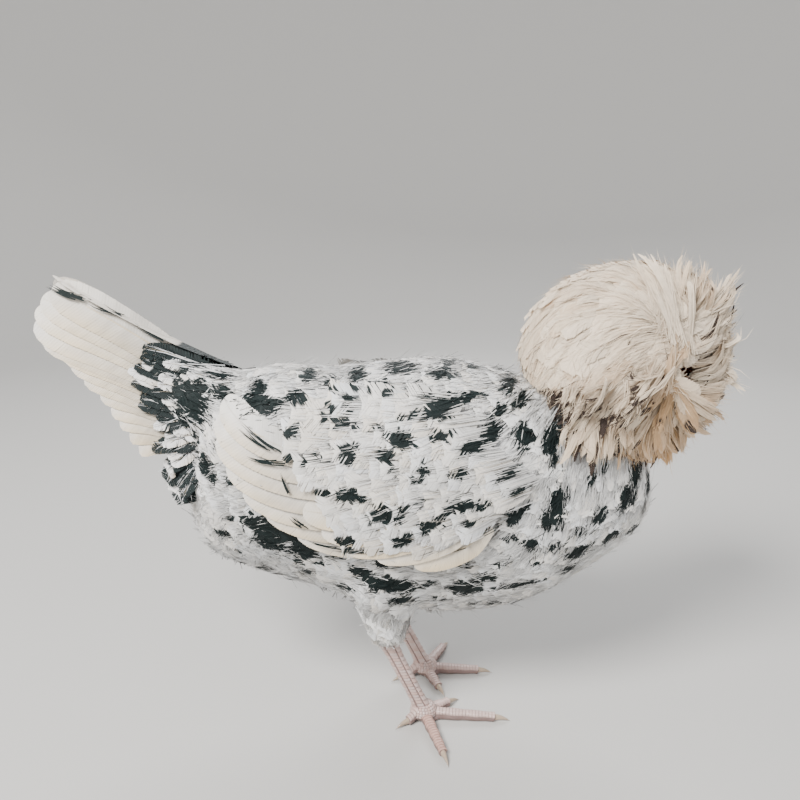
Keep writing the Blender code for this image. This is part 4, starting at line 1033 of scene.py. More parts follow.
class Coat:
    """Feathers gathered as arrays and joined into one mesh."""

    def __init__(self, seed, unwrap, marks=0.0):
        self.draw = np.random.default_rng(seed)
        self.unwrap = unwrap
        self.marks = marks
        self.points = []
        self.faces = []
        self.values = {name: [] for name in ("mark", "tone", "warm", "barb", "rim")}
        self.places = []
        self.count = 0

    @staticmethod
    def column(value, number):
        return np.broadcast_to(np.asarray(value, float), (number,))[:, None]

    def add(self, handles, facing, half_width, shape, barbs, gap, fray, spike, split=0.06, sweep=0.9,
            cup=0.08, warm=0.0, tone=None, mark=None, edge=0.10, own=0.12, lower=0, drape=None):
        """Vanes along cubic curves, with barbs swept towards the tip; facing is each one's outer side."""
        number = len(handles)
        if not number:
            return
        draw = self.draw
        half_width = self.column(half_width, number)
        gap = self.column(gap, number)
        length = np.linalg.norm(handles[:, 3] - handles[:, 0], axis=1)[:, None]
        base = np.broadcast_to(1 - (1 - np.linspace(0, 1, barbs + 1)) ** 1.5, (number, barbs + 1))
        step = np.diff(base, axis=1)
        table = np.array(shape).T
        wide_a = np.interp(base[:, :-1], *table)
        wide_b = np.interp(base[:, 1:], *table)
        ahead = sweep * half_width / length
        parts = [(base, np.zeros_like(base), base)]
        noise = [draw.normal(0, 0.3, base.shape)]
        for side in (-1, 1):
            ragged = draw.normal(0, 1, (number, barbs))
            opened = np.where(draw.random((number, barbs)) < split, 0.8, gap)
            reach = 1 + fray * 0.3 * ragged
            start = base[:, :-1] + ahead * wide_a * reach + opened * step * 0.5
            end = base[:, 1:] + ahead * wide_b * reach - opened * step * 0.5
            point = (start + end) / 2 + spike * step * (1 + ragged * fray)
            out = (wide_a + wide_b) / 2 * (1.0 + fray * 0.2 * np.abs(ragged)) + 0.012
            parts.append((start, side * wide_a * (1 + fray * 0.1 * ragged), base[:, :-1]))
            parts.append((end, side * wide_b * (1 + fray * 0.1 * ragged), base[:, 1:]))
            parts.append((point, side * out, (base[:, :-1] + base[:, 1:]) / 2))
            noise += [ragged] * 3
        last = ahead * table[1, -1]
        parts.append((1 + last + 0.6 * step[:, -1:], 0 * last, 1 + 0 * last))
        noise.append(draw.normal(0, 1, (number, 1)))
        t, across, barb = (np.concatenate([part[k] for part in parts], axis=1) for k in range(3))
        point, slope = along_curve(handles, t)
        if facing.ndim == 3:
            share = np.clip(t, 0, 1)[..., None]
            facing = facing[:, 0, None] * (1 - share) + facing[:, 1, None] * share
        else:
            facing = facing[:, None]
        aside = unit(np.cross(slope, facing))
        above = unit(np.cross(aside, slope))
        wide = across * half_width
        point = point + aside * wide[..., None] - above * (cup * np.abs(across * wide))[..., None]
        if drape:
            drape(point, t, across)
        if lower:
            stained = 0.6 * np.clip(across * lower, 0, 1) ** 3
            warm = self.column(warm, number) + stained
        noise = np.concatenate(noise, axis=1) * edge + draw.normal(0, own, (number, 1))
        self.store(point, self.vane_faces(barbs), barb, across, noise, handles[:, 0], warm, tone, mark)

    @staticmethod
    def vane_faces(barbs):
        faces = []
        for k, side in enumerate((-1, 1)):
            first = barbs + 1 + 3 * barbs * k
            for near in range(barbs):
                start, end, tip = first + near, first + near + barbs, first + near + 2 * barbs
                triangles = [(near, start, end), (near, end, near + 1), (start, tip, end)]
                faces += triangles if side > 0 else [face[::-1] for face in triangles]
        last = 7 * barbs + 1
        return [*faces, (barbs, 6 * barbs, last), (barbs, last, 3 * barbs)]

    def strands(self, handles, facing, half_width, warm=0.0, tone=None, mark=None, drape=None, own=0.1):
        """Single barbs that taper from root to tip."""
        number = len(handles)
        if not number:
            return
        t = np.tile(np.array([0, 0, 0.35, 0.35, 0.7, 0.7, 1.0]), (number, 1))
        across = np.tile(np.array([-1, 1, -0.9, 0.9, -0.6, 0.6, 0]), (number, 1))
        point, slope = along_curve(handles, t)
        aside = unit(np.cross(slope, facing[:, None]))
        point = point + aside * (across * self.column(half_width, number))[..., None]
        if drape:
            drape(point, t, across)
        faces = [(0, 1, 3), (0, 3, 2), (2, 3, 5), (2, 5, 4), (4, 5, 6)]
        noise = np.tile(self.draw.normal(0, own, (number, 1)), (1, 7))
        self.store(point, faces, t, across, noise, handles[:, 0], warm, tone, mark)

    def store(self, point, faces, barb, across, noise, roots, warm, tone, mark):
        number, each = barb.shape
        starts = self.count + each * np.arange(number)
        self.faces.append((np.array(faces)[None] + starts[:, None, None]).reshape(-1, 3))
        self.points.append(point.reshape(-1, 3))
        self.count += number * each
        tone = self.draw.normal(0, 0.6, number) if tone is None else tone
        mark = self.marks if mark is None else mark
        if callable(mark):
            mark = mark(point, noise, barb)
        rim = np.minimum(np.abs(across * 0.5) * 100, 1)
        for name, value in (("mark", mark), ("tone", tone), ("warm", warm), ("barb", barb), ("rim", rim)):
            value = np.asarray(value, float)
            if value.ndim == 1:
                value = value[:, None]
            self.values[name].append(np.broadcast_to(value, barb.shape).reshape(-1))
        patch = joined(across * 0.5, barb - 0.5) * FEATHER_PATCH
        self.places.append((self.unwrap(roots)[:, None] + patch).reshape(-1, 2))

    def piece(self, name, material, slot, *replaced):
        """The joined feathers as a piece of the hen."""
        points = np.concatenate(self.points).astype(np.float32)
        faces = np.concatenate(self.faces).astype(np.int32)
        mesh = bpy.data.meshes.new(name)
        mesh.vertices.add(len(points))
        mesh.vertices.foreach_set("co", points.ravel())
        mesh.loops.add(faces.size)
        mesh.loops.foreach_set("vertex_index", faces.ravel())
        mesh.polygons.add(len(faces))
        mesh.polygons.foreach_set("loop_start", np.arange(0, faces.size, 3, dtype=np.int32))
        mesh.update(calc_edges=True)
        for key, values in self.values.items():
            store_attribute(mesh, key, np.concatenate(values))
        layer = mesh.uv_layers.new(name=BAKE_MAP)
        layer.data.foreach_set("uv", np.concatenate(self.places)[faces.ravel()].astype(np.float32).ravel())
        return piece(name, mesh, material, slot, *replaced)


def body_unwrap(points):
    """The body unrolled about a line along its middle."""
    x, y, z = points.T
    along = (x + 0.20) / 0.50
    around = np.arctan2(y, z - 0.19) / math.tau + 0.5
    return joined(along, around) * 0.94 + 0.03


def crest_unwrap(points):
    """The crest unrolled about its upright axis."""
    away = unit(points - (CREST_CORE - (0, 0, 0.02)))
    around = np.arctan2(away[:, 1], away[:, 0]) / math.tau + 0.5
    return joined(around, np.arccos(np.clip(away[:, 2], -1, 1)) / math.pi) * 0.94 + 0.03


def side_unwrap(points):
    """Both sides laid flat, one over the other."""
    x, y, z = points.T
    return joined((x + 0.28) / 0.42, (z - 0.15) / 0.45 + np.where(y > 0, 0.5, 0)) * 0.94 + 0.03


def spot_shares(points, noise, spots):
    """How dark each point is, from tilted spots with ragged edges."""
    x, z = points[..., 0] * 1000, points[..., 2] * 1000
    dark = np.zeros(x.shape)
    for middle_x, middle_z, long, wide, tilt in spots:
        turn = math.radians(tilt)
        near = (np.abs(x - middle_x) < long) & (np.abs(z - middle_z) < max(long, wide))
        if not near.any():
            continue
        ahead, above = x[near] - middle_x, z[near] - middle_z
        u = (ahead * math.cos(turn) + above * math.sin(turn)) / (long / 2 * SPOT_GROWTH)
        v = (above * math.cos(turn) - ahead * math.sin(turn)) / ((wide / 2 + 0.6) * SPOT_GROWTH)
        inside = 1 - ramp(np.hypot(u, v) + noise[near] * 1.2, 0.84, 1.12)
        dark[near] = np.maximum(dark[near], inside)
    return dark


@functools.cache
def right_spots():
    """The measured spots, and small ones strewn between them."""
    draw = np.random.default_rng(SEEDS["strewn"])
    spots = list(SPOTS)
    for x, z, size in zip(*(draw.uniform(*reach, 900) for reach in ((-125, 195), (105, 292), (7, 13)))):
        apart = min(math.hypot(x - spot[0], z - spot[1]) - spot[2] * 0.35 for spot in spots)
        if apart > 11.5:
            steep = 65 if x > 100 and z > 180 else 8
            spots.append((x, z, size, size * 0.42, steep + draw.uniform(-15, 15)))
    return tuple(spots)


@functools.cache
def far_spots():
    draw = np.random.default_rng(SEEDS["far"])
    moved = np.array(right_spots(), float)
    moved[:, :2] += draw.normal(0, FAR_SIDE_SHIFT, (len(moved), 2))
    moved[:, 2:4] *= draw.uniform(0.8, 1.2, (len(moved), 2))
    return moved.tolist()


def body_marks(points, noise, _):
    """The right side's spots, and others like them on the left."""
    near = points[..., 1] <= 0
    noise = np.broadcast_to(noise, near.shape)
    right = spot_shares(np.where(near[..., None], points, 9), noise, right_spots())
    left = spot_shares(np.where(near[..., None], 9, points), noise, far_spots())
    return np.maximum(right, left)


def lie_of_body(points, normals):
    """The way that feathers point on torso, neck, tail root and thighs."""
    x, _, z = points.T
    front = ramp(x, 0.050, 0.130)
    low = ramp(0.185 - z, 0, 0.075)
    rear = ramp(-x, 0.055, 0.125) * ramp(0.200 - z, -0.02, 0.04)
    rump = ramp(-x, 0.085, 0.130) * ramp(z, 0.215, 0.245)
    thigh = ramp(0.125 - z, 0, 0.020) * (np.abs(x) < 0.05)
    ahead = -1 + front * (0.78 - 0.62 * low) + rear * 0.45 + thigh * 0.8
    down = -0.16 - front * (1 - 0.80 * low) * 0.95 - rear * 0.75 - thigh * 1.0 + rump * 0.85
    return along_surface(joined(ahead, 0, down), normals)


def turned(way, normals, angle):
    """The directions turned about the normals."""
    return way * np.cos(angle)[:, None] + np.cross(normals, way) * np.sin(angle)[:, None]


def laid(surface, places, normals, way, length, depth, lift):
    """Curves that root under a surface and come to lie along it, with the outer side at both ends."""
    length, lift = length[:, None], lift[:, None]
    near, near_out = surface.nearest(places + way * length * 0.34)
    middle, middle_out = surface.nearest(places + way * length * 0.68)
    onwards = along_surface(middle - near, middle_out)
    end, end_out = surface.nearest(middle + onwards * length * 0.34)
    handles = np.stack([places - normals * depth, near - near_out * depth * 0.35,
                        middle + middle_out * lift * 0.7, end + end_out * lift], axis=1)
    return handles, np.stack([normals, end_out], axis=1)


def body_regions():
    """For each region: length, half width, depth of roots, lift of tips, shape, cut, stain, tone, fine barbs
    to each feather, and their tone."""
    scale, depth = sizes().body_length, sizes().coat_depth
    plain = (scale, sizes().body_half_width, depth, (0.0003, 0.0015), BODY_VANE, BODY_CUT,
             (0, 0.30), (0, 1.0), 11, -0.4)
    return {
        "thigh": (0.0150, 0.0038, 0.0030, (0.0003, 0.0016), BODY_VANE, {"barbs": 10, **FLUFF_CUT},
                  (0.1, 0.4), (-3.6, 0.9), 8, -0.4),
        # The rear's feathers and fine barbs are much darker: partly greyer fluff, partly painted shade over
        # the hind underside.
        "rear": (scale * 0.95, 0.0070, depth, (0.0004, 0.0036), BODY_VANE, {"barbs": 18, **FLUFF_CUT},
                 (0, 0.15), (-5.2, 1.6), 12, -4.0),
        "hackle": (scale * 1.25, 0.0048, depth, (0.0003, 0.0014), HACKLE_VANE, HACKLE_CUT,
                   (0, 0.3), (0, 1.0), 16, -0.4),
        "right": plain,
        "left": plain,
    }


def build_body_feathers():
    draw = np.random.default_rng(SEEDS["body"])
    surface = coat_surface()
    places, normals = surface.scatter(draw, sizes().body_spacing, lambda points: points[:, 2] > 0.074)
    way = lie_of_body(places, normals)
    way = turned(way, normals, draw.normal(0, 0.10, len(places)))
    x, y, z = places.T
    covered = under_wing(places) & under_wing(places + way * 0.026) | (x > 0.185) & (z > 0.262) | (x < -0.176)
    thigh = (z < 0.108) & (np.abs(x) < 0.05)
    rear = (x < -0.045) & (z < 0.165) & ~thigh
    hackle = (x + 0.35 * (z - 0.24) > 0.118) & (z > 0.222)
    rest = ~(thigh | rear | hackle)
    groups = {"thigh": thigh, "rear": rear, "hackle": hackle, "right": rest & (y <= 0),
              "left": rest & (y > 0)}
    for name, region in body_regions().items():
        long, wide, deep, lifts, shape, cut, stain, tones, barbs, barb_tone = region
        chosen = groups[name] & ~covered
        number = int(chosen.sum())
        spots, outs, ways = places[chosen], normals[chosen], way[chosen]
        share = draw.uniform(0.82, 1.18, number)
        length = long * share
        handles, facing = laid(surface, spots, outs, ways, length, deep, draw.uniform(*lifts, number))
        coat = Coat(50 + len(name), body_unwrap, body_marks)
        coat.add(handles, facing, wide * share, shape, warm=draw.uniform(*stain, number),
                 tone=draw.normal(*tones, number), **cut)
        fuzz = np.repeat(np.arange(number), barbs)
        jitter = turned(ways[fuzz], outs[fuzz], draw.normal(0, 0.20, len(fuzz)))
        starts = spots[fuzz] + draw.normal(0, 0.0034, (len(fuzz), 3))
        handles, facing = laid(surface, starts, outs[fuzz], jitter, length[fuzz] * 0.85,
                               sizes().coat_depth * 0.3, draw.uniform(0.0004, 0.0019, len(fuzz)))
        coat.strands(handles, facing[:, 0], BARB_HALF_WIDTH, warm=0.1, own=0.27,
                     tone=draw.normal(barb_tone, 2.2, len(fuzz)))
        coat.piece(name + "_feathers", body_plumage(), "plumage")


def crest_direction(angle, turn, side):
    """Directions at angles from one side's whorl and turns round it, from ahead over up."""
    out = unit(mirrored(CREST_WHORL, side))
    ahead = unit(np.array((1.0, 0.0, 0.0)) - out * out[0])
    above = np.cross(out, ahead) * side * -1
    flat = ahead * np.cos(turn)[:, None] + above * np.sin(turn)[:, None]
    return out * np.cos(angle)[:, None] + flat * np.sin(angle)[:, None]


def crest_curves(angle, turn, reach, length, bend, side):
    """Curves of the given length that end at angles from the whorl, with their outer sides.

    They run away from a parting through the whorl, and pass over it where they are longer."""
    inner = 1 - 0.10 * (1 - ramp(angle, math.radians(14), math.radians(50)))
    tip = crest_direction(angle, turn, side)
    reach = reach * inner * (1 - CREST_FLAT_FRONT * ramp(tip[:, 0], 0.40, 0.95))
    arc = length / float(np.mean(CREST_SIZE))
    whorl = mirrored(CREST_WHORL, side)
    along = np.clip((tip - whorl) @ PARTING_SLOPE * 0.85, *CREST_PARTING)
    parting = unit(whorl + along[:, None] * PARTING_SLOPE)
    between = np.arccos(np.clip(np.sum(tip * parting, axis=1), -1, 1))
    away = unit(tip - parting * np.cos(between)[:, None])
    aside = np.cross(parting, away) * side * -1

    def at(back, deep, swirl):
        turned_away = away * np.cos(swirl)[:, None] + aside * np.sin(swirl)[:, None]
        left = between - arc * back
        way = parting * np.cos(left)[:, None] + turned_away * np.sin(left)[:, None]
        return CREST_MIDDLE + way * CREST_SIZE * (reach * deep)[:, None]

    calm = ramp(angle, math.radians(10), math.radians(40))
    still = 0 * bend
    handles = np.stack([at(1.0, 0.84, still), at(0.64, 0.965, still), at(0.30, 1.01, bend * calm / 2),
                        at(0.0, 0.99, bend * calm)], axis=1)
    sides = [unit((handles[:, k] - CREST_MIDDLE) / CREST_SIZE) for k in (0, 3)]
    handles[:, 3, 2] -= 0.0040
    handles[:, 2, 2] -= 0.0012
    return handles, np.stack(sides, axis=1)


def sight_gap(points, target, side):
    """How far points lie from the line between the camera, mirrored by side, and a target."""
    eye_point = mirrored(CAMERA, -side)
    aim = mirrored(target, side) - eye_point
    rest = points - eye_point
    return np.linalg.norm(np.cross(rest, unit(aim)), axis=-1)


def shortened(handles):
    """Ends curves before they cross an eye's view or the beak; tells which stay long enough."""
    steps = np.linspace(0.25, 1.0, 26)
    points, _ = along_curve(handles, np.tile(steps, (len(handles), 1)))
    x, y, z = (points[..., k] for k in range(3))
    blocked = (x > 0.226) & (z < 0.288) & (np.abs(y) < 0.013)
    for _, side in SIDES:
        blocked |= (sight_gap(points, EYE + (0.002, 0.004, 0), side) < EYE_OPENING) & (y * side > 0.004)
    first = np.where(blocked.any(axis=1), steps[np.argmax(blocked, axis=1)] - 0.04, 1.0)
    t = first[:, None]
    p0, p1, p2, p3 = (handles[:, k] for k in range(4))
    a, b, c = p0 + (p1 - p0) * t, p1 + (p2 - p1) * t, p2 + (p3 - p2) * t
    d, e = a + (b - a) * t, b + (c - b) * t
    handles[:] = np.stack([p0, a, d, d + (e - d) * t], axis=1)
    return first > 0.42


def add_locks(coat, side, draw):
    """Locks of feathers that hang below the crest, or stand away from it."""
    for root, tip, count, half_width, spread, warm, dark in LOCKS:
        root, tip = (mirrored(np.array(place) / 1000, side) for place in (root, tip))
        half_width, spread = half_width / 10000, spread / 10000
        out = np.array((0.0, side, 0.0))
        away = draw.normal(0, 1, (count, 3)) * (1, 0.5, 1) * spread
        pulled = (draw.random(count) ** 0.7)[:, None]
        starts = root + draw.normal(0, 0.0036, (count, 3)) * (1, 0.5, 1)
        reach = draw.uniform(0.62, 1.02, (count, 1))
        ends = root + (tip - root) * reach + away * pulled
        bulge = out * draw.uniform(0.002, 0.009, (count, 1))
        bent = draw.normal(0, 0.0045, (count, 3)) * (1, 0.4, 1)
        handles = np.stack([starts, starts + (ends - starts) * 0.35 + bulge + bent * 0.5,
                            starts + (ends - starts) * 0.75 + bulge + bent, ends], axis=1)
        if side > 0 and tip[2] > 0.350:
            handles = handles[::3]
            handles[:, 3, 2] -= 0.010
        clear_of_flesh(handles)
        if root[0] < 0.222:
            handles = handles[shortened(handles)]
        count = len(handles)
        facing = out + 0.25 * UP + draw.normal(0, 0.25, (count, 3))
        strength = np.where(draw.random(count) < dark, draw.uniform(0.7, 1.0, count), 0)
        # Locks whose share is 1 are dark from root to tip: painted shade in the gaps between the pale locks.
        marks = strength if dark == 1 else crest_marks(strength)
        coat.add(handles, facing, half_width * draw.uniform(0.6, 1.1, count), WISP_VANE, mark=marks,
                 warm=warm * draw.uniform(0.6, 1.3, count), tone=draw.normal(0, 1.0, count), **LOCK_CUT)
        many = np.repeat(np.arange(count), 8)
        fine = handles[many] + draw.normal(0, 0.0020, (len(many), 4, 3)) * LOOSENING
        coat.strands(fine, facing[many], 0.00032, warm=warm * draw.uniform(0.5, 1.3, len(many)),
                     tone=draw.normal(0, 1.5, len(many)),
                     mark=strength[many] if dark == 1 else crest_marks(strength[many] * (dark > 0.9)))


def clear_of_flesh(handles):
    """Pushes tips out of neck and torso; tells which curves needed only a small push."""
    tips = handles[:, 3]
    found, out = coat_surface().nearest(tips)
    depth = np.sum((found - tips) * out, axis=1)
    push = np.clip(depth + 0.004, 0, None)[:, None]
    handles[:, 3] += out * push
    handles[:, 2] += out * push * 0.8
    return depth < 0.016


def spiral(number, first, last, draw):
    """Even angles from the whorl and turns round it, slightly shuffled."""
    share = (np.arange(number) + 0.5) / number
    angle = np.arccos(np.cos(first) - share * (np.cos(first) - np.cos(last)))
    turn = np.arange(number) * math.pi * (3 - math.sqrt(5))
    return angle + draw.normal(0, 0.04, number), turn + draw.normal(0, 0.06, number)


def clump(handles, chosen, spacing, pull):
    """Draws the chosen curves' tips together into locks."""
    tips = handles[chosen, 3]
    if not len(tips):
        return
    leaders = tips[thinned(tips, spacing)]
    nearest = np.argmin(np.linalg.norm(tips[:, None] - leaders[None], axis=2), axis=1)
    shift = (leaders[nearest] - tips) * pull
    handles[chosen, 3] += shift
    handles[chosen, 2] += shift * 0.45


def crest_marks(strength):
    """Dark streaks towards the tips, as strong as each feather's own share."""
    def marks(points, noise, barb):
        return ramp(barb + noise, 0.42, 0.85) * strength[:, None]
    return marks


def build_crest():
    for label, side in SIDES:
        draw = np.random.default_rng(SEEDS["crest"])
        coat = Coat(70, crest_unwrap)
        area = 2 * math.pi * float(np.mean(CREST_SIZE)) ** 2
        for density, reach_at, fullness in CREST_LAYERS:
            number = int(area / sizes().crest_spacing**2 * density)
            angle, turn = spiral(number, math.radians(8), math.radians(108), draw)
            length = draw.uniform(0.036, 0.052, number)
            handles, facing = crest_curves(angle, turn, reach_at + draw.normal(0, 0.011, number), length,
                                           CREST_SWIRL + draw.normal(0, 0.12, number), side)
            kept = handles[:, 3, 1] * side > draw.uniform(-0.014, 0.002, number)
            tip = handles[:, 3]
            # Most outer feathers under the face are left out, so that the darker inner layer shows there.
            under_face = (tip[:, 0] > 0.176) & (tip[:, 2] < 0.266)
            kept &= ~(under_face & (reach_at > 0.95) & (draw.random(number) < 0.7))
            handles, facing = handles[kept], facing[kept]
            kept = clear_of_flesh(handles) & shortened(handles)
            handles, facing = handles[kept], facing[kept]
            tip = handles[:, 3].copy()
            number = len(handles)
            front = tip[:, 0] > 0.218
            low = (tip[:, 2] < 0.272) & (tip[:, 0] > 0.166) & ~front
            fringe = (tip[:, 2] < 0.272) & ~front & ~low
            crown = (tip[:, 2] > 0.342) & ~front
            dome = ~(front | low | fringe | crown)
            groups = {"dome": dome, "crown": crown, "fringe": fringe, "low": low, "front": front}
            curl = front & (tip[:, 2] > 0.296) & (draw.random(number) < 0.7)
            rise = draw.uniform(0.004, 0.014, curl.sum())
            handles[curl, 3] += joined(rise * 0.3, 0, rise)
            handles[curl, 2, 2] -= rise * 0.3
            for name, (spacing, pull, *_) in CREST_GROUPS.items():
                clump(handles, groups[name], spacing, pull)
            warm = draw.uniform(0.0, 0.24, number) + 0.25 * (draw.random(number) < 0.10)
            warm = np.where(low, draw.uniform(0.35, 0.9, number), warm)
            warm = np.where(front & (tip[:, 2] < 0.29), draw.uniform(0.1, 0.6, number), warm)
            chance, fine_chance = (sum(group * CREST_GROUPS[name][k] for name, group in groups.items())
                                   for k in (5, 6))
            strength = np.where(draw.random(number) < chance, draw.uniform(0.6, 1.0, number), 0)
            # Painted shade: the inner layer's feathers low on the crest, in its fringe and in front are
            # darker, for the shade under the outer layer; the rest of the spread is random tone.
            tone_and_painted_shade = draw.normal(0, 0.8, number) - (1.8 if reach_at < 0.95 else 0.0) * (low | fringe | front)
            for name, (_, _, shape, wide, barbs, _, _) in CREST_GROUPS.items():
                group = groups[name]
                coat.add(handles[group], facing[group], wide * draw.uniform(0.75, 1.15, group.sum()), shape,
                         barbs=max(7, round(barbs * fullness)), warm=warm[group], tone=tone_and_painted_shade[group],
                         mark=crest_marks(strength[group]), **CREST_CUT)
            many = np.repeat(np.arange(number), 7)
            fine = handles[many] + draw.normal(0, 0.0022, (len(many), 4, 3)) * LOOSENING
            streaked = draw.random(len(many)) < fine_chance[many]
            coat.strands(fine, facing[many, 1], np.where(streaked, 0.00042, 0.00028), warm=warm[many],
                         mark=crest_marks(streaked * draw.uniform(0.6, 1.0, len(many))))
        add_locks(coat, side, draw)
        if side < 0:
            add_seam(coat, draw)
        coat.piece("crest_feathers_" + label, crest_plumage(), "crest", *(("crest",) if side < 0 else ()))


def add_seam(coat, draw, number=34):
    """Feathers along the crest's top, where both sides meet."""
    share = np.array((0.0, 0.33, 0.66, 1.0))
    x = np.linspace(0.246, 0.130, number)[:, None] - 0.040 * share
    y = draw.normal(0, 0.0045, (number, 1))
    ahead = (x - CREST_MIDDLE[0]) / CREST_SIZE[0]
    reach = 0.955 * (1 - CREST_FLAT_FRONT * ramp(ahead, 0.40, 0.95))
    z = CREST_MIDDLE[2] + CREST_SIZE[2] * reach * np.sqrt(1 - ahead**2) - 0.010 * (1 - share) ** 2
    facing = unit(joined(ahead[:, 0], 0, 1))
    coat.add(joined(x, y, z), facing, 0.0075 * draw.uniform(0.8, 1.15, number), CREST_VANE, 18,
             warm=draw.uniform(0, 0.2, number), tone=draw.normal(0, 0.8, number), **CREST_CUT)


def add_dark_wisps_and_shade(coat, side, sheet, lines, lift):
    """Bundles of fine dark barbs on a side's sheet, along the measured lines: partly real dark wisps, partly
    painted shade between the long feathers.
    """
    draw = np.random.default_rng(SEEDS["lines"])
    share = np.array((-1.0, -0.35, 0.35, 1.0))
    for x, z, long, wide, tilt in lines:
        number = round(wide * 2.4)
        turn = np.radians(tilt + draw.normal(0, 2.2, number))
        way = -joined(np.cos(turn), np.sin(turn)) * np.sign(np.cos(turn))[:, None]
        middle = (x, z) + draw.normal(0, 1, (number, 2)) * (long / 10, wide / 4)
        half = long / 2 * draw.uniform(0.5, 1.05, number)
        flat = (middle[:, None] + way[:, None] * (half[:, None] * share)[..., None]) / 1000
        flat[:, 1:3, 1] -= 0.0015
        coat.strands(upright(flat), sideways(side, number), draw.uniform(0.0003, 0.0006, number),
                     mark=draw.uniform(0.7, 1.0, number), drape=draped(sheet, side, (lift, lift), 0))


def sheet_curves(roots, tips, count, bow, draw, uneven=0.03):
    """Curves in the side's plane whose roots and tips follow lines through (x, z) places."""
    share = np.linspace(0, 1, count)
    ends = []
    for places in (roots, tips):
        at = np.linspace(0, 1, len(places))
        ends.append(joined(*(Line(*zip(at, column))(share) for column in np.array(places).T / 1000)))
    root, tip = ends
    tip = tip + (tip - root) * draw.uniform(-uneven, uneven, (count, 1))
    chord = unit(tip - root)
    below = joined(chord[:, 1], -chord[:, 0])
    below *= np.where(below[:, 1:] > 0, -1, 1)
    handle = (root + tip) / 2 + below * bow * 2
    inner = (end + (handle - end) * 2 / 3 for end in (root, tip))
    return upright(np.stack([root, *inner, tip], axis=1))


def draped(sheet, side, layers, tilt=0.0008):
    """Lays vanes on a side's sheet, each lower edge standing out a little."""
    def lay(points, t, across):
        lift = mixed_share(np.clip(t, 0, 1), *layers) + tilt * across * side
        points[..., 1] += side * (sheet(points[..., 0], points[..., 2]) + lift)
    return lay


def add_coverts(coat, side, draw):
    """Overlapping feathers strewn over the front of the wing."""
    places = joined(draw.uniform(-0.036, 0.104, 9000), draw.uniform(0.160, 0.275, 9000))
    x, z = places.T
    low, high = WING_CORE_LOW(x) + 0.004, WING_CORE_HIGH(x) + 0.006
    places = places[(z > low) & (z < high) & (x > -0.036 + 0.55 * (0.250 - z))]
    places = places[thinned(upright(places), 0.0066)]
    x, z = places.T
    number = len(places)
    below = ramp(0.262 - z, 0, 0.07)[:, None]
    way = unit(np.array(COVERT_WAY[0]) * (1 - below) + np.array(COVERT_WAY[1]) * below)
    turn = draw.normal(0, 0.10, number)
    way = joined(way[:, 0] * np.cos(turn) - way[:, 1] * np.sin(turn),
                 way[:, 0] * np.sin(turn) + way[:, 1] * np.cos(turn))
    length = mixed_share(ramp(x, -0.03, 0.08), 0.034, 0.026) * draw.uniform(0.88, 1.12, number)
    flat = places[:, None] + way[:, None] * (length[:, None] * np.array((0, 0.35, 0.68, 1.0)))[..., None]
    handles, facing = upright(flat), sideways(side, number)
    for later in range(4):
        part = np.arange(number) % 4 == later
        layers = (0.0012 + 0.0003 * later, 0.0054 + 0.0004 * later)
        coat.add(handles[part], facing[part], length[part] * draw.uniform(0.26, 0.32, part.sum()), BODY_VANE,
                 warm=draw.uniform(0.0, 0.45, part.sum()), tone=draw.normal(0, 1.0, part.sum()),
                 mark=body_marks, drape=draped(wing_sheet, side, layers, 0.0006), **COVERT_CUT)
        many = np.repeat(np.flatnonzero(part), 9)
        fine = handles[many] + draw.normal(0, 0.0032, (len(many), 1, 3)) * (1, 0, 1)
        coat.strands(fine, facing[many], BARB_HALF_WIDTH, warm=0.15, tone=draw.normal(-0.4, 1.9, len(many)),
                     own=0.27, mark=body_marks,
                     drape=draped(wing_sheet, side, (layers[0] + 0.0008, layers[1] + 0.0010), 0))


def build_wings():
    for label, side in SIDES:
        draw = np.random.default_rng(SEEDS["wings"])
        coat = Coat(80 + side, side_unwrap)
        for roots, tips, count, half_width, bow, layers, shape, barbs, warm in WING_TIERS:
            handles, facing = sheet_curves(roots, tips, count, bow, draw), sideways(side, count)
            wide = half_width * draw.uniform(0.90, 1.08, count)
            coat.add(handles, facing, wide, shape, barbs, sweep=0.5, edge=0.03, own=0.02,
                     warm=warm * draw.uniform(0.6, 1.2, count), tone=draw.normal(0, 0.8, count), lower=side,
                     drape=draped(wing_sheet, side, layers, 0.0028), **QUILL_CUT)
            over = draped(wing_sheet, side, tuple(lift + SHAFT_LIFT for lift in layers), 0)
            coat.strands(handles, facing, SHAFT_HALF_WIDTH, warm=0.9, tone=np.full(count, -1.0), drape=over)
        add_dark_wisps_and_shade(coat, side, wing_sheet, WING_WISP_AND_SHADE_LINES, 0.0050)
        add_coverts(coat, side, draw)
        coat.piece("wing_feathers_" + label, body_plumage(), "plumage", "wing_" + label)


def tail_marks(points, noise, _):
    """The dark band at the tail's base, which reaches furthest out halfway up."""
    x, z = points[..., 0], points[..., 2]
    return 0.9 * ramp(x - 0.6 * np.abs(z - 0.270) + noise * 0.06, -0.182, -0.168)


def covert_marks(strength, ending):
    """Dark feathers over the tail's base, some with pale ends."""
    def marks(points, noise, barb):
        return (1 - ramp(barb + noise * 0.6 - ending[:, None], 0.0, 0.22)) * strength[:, None]
    return marks


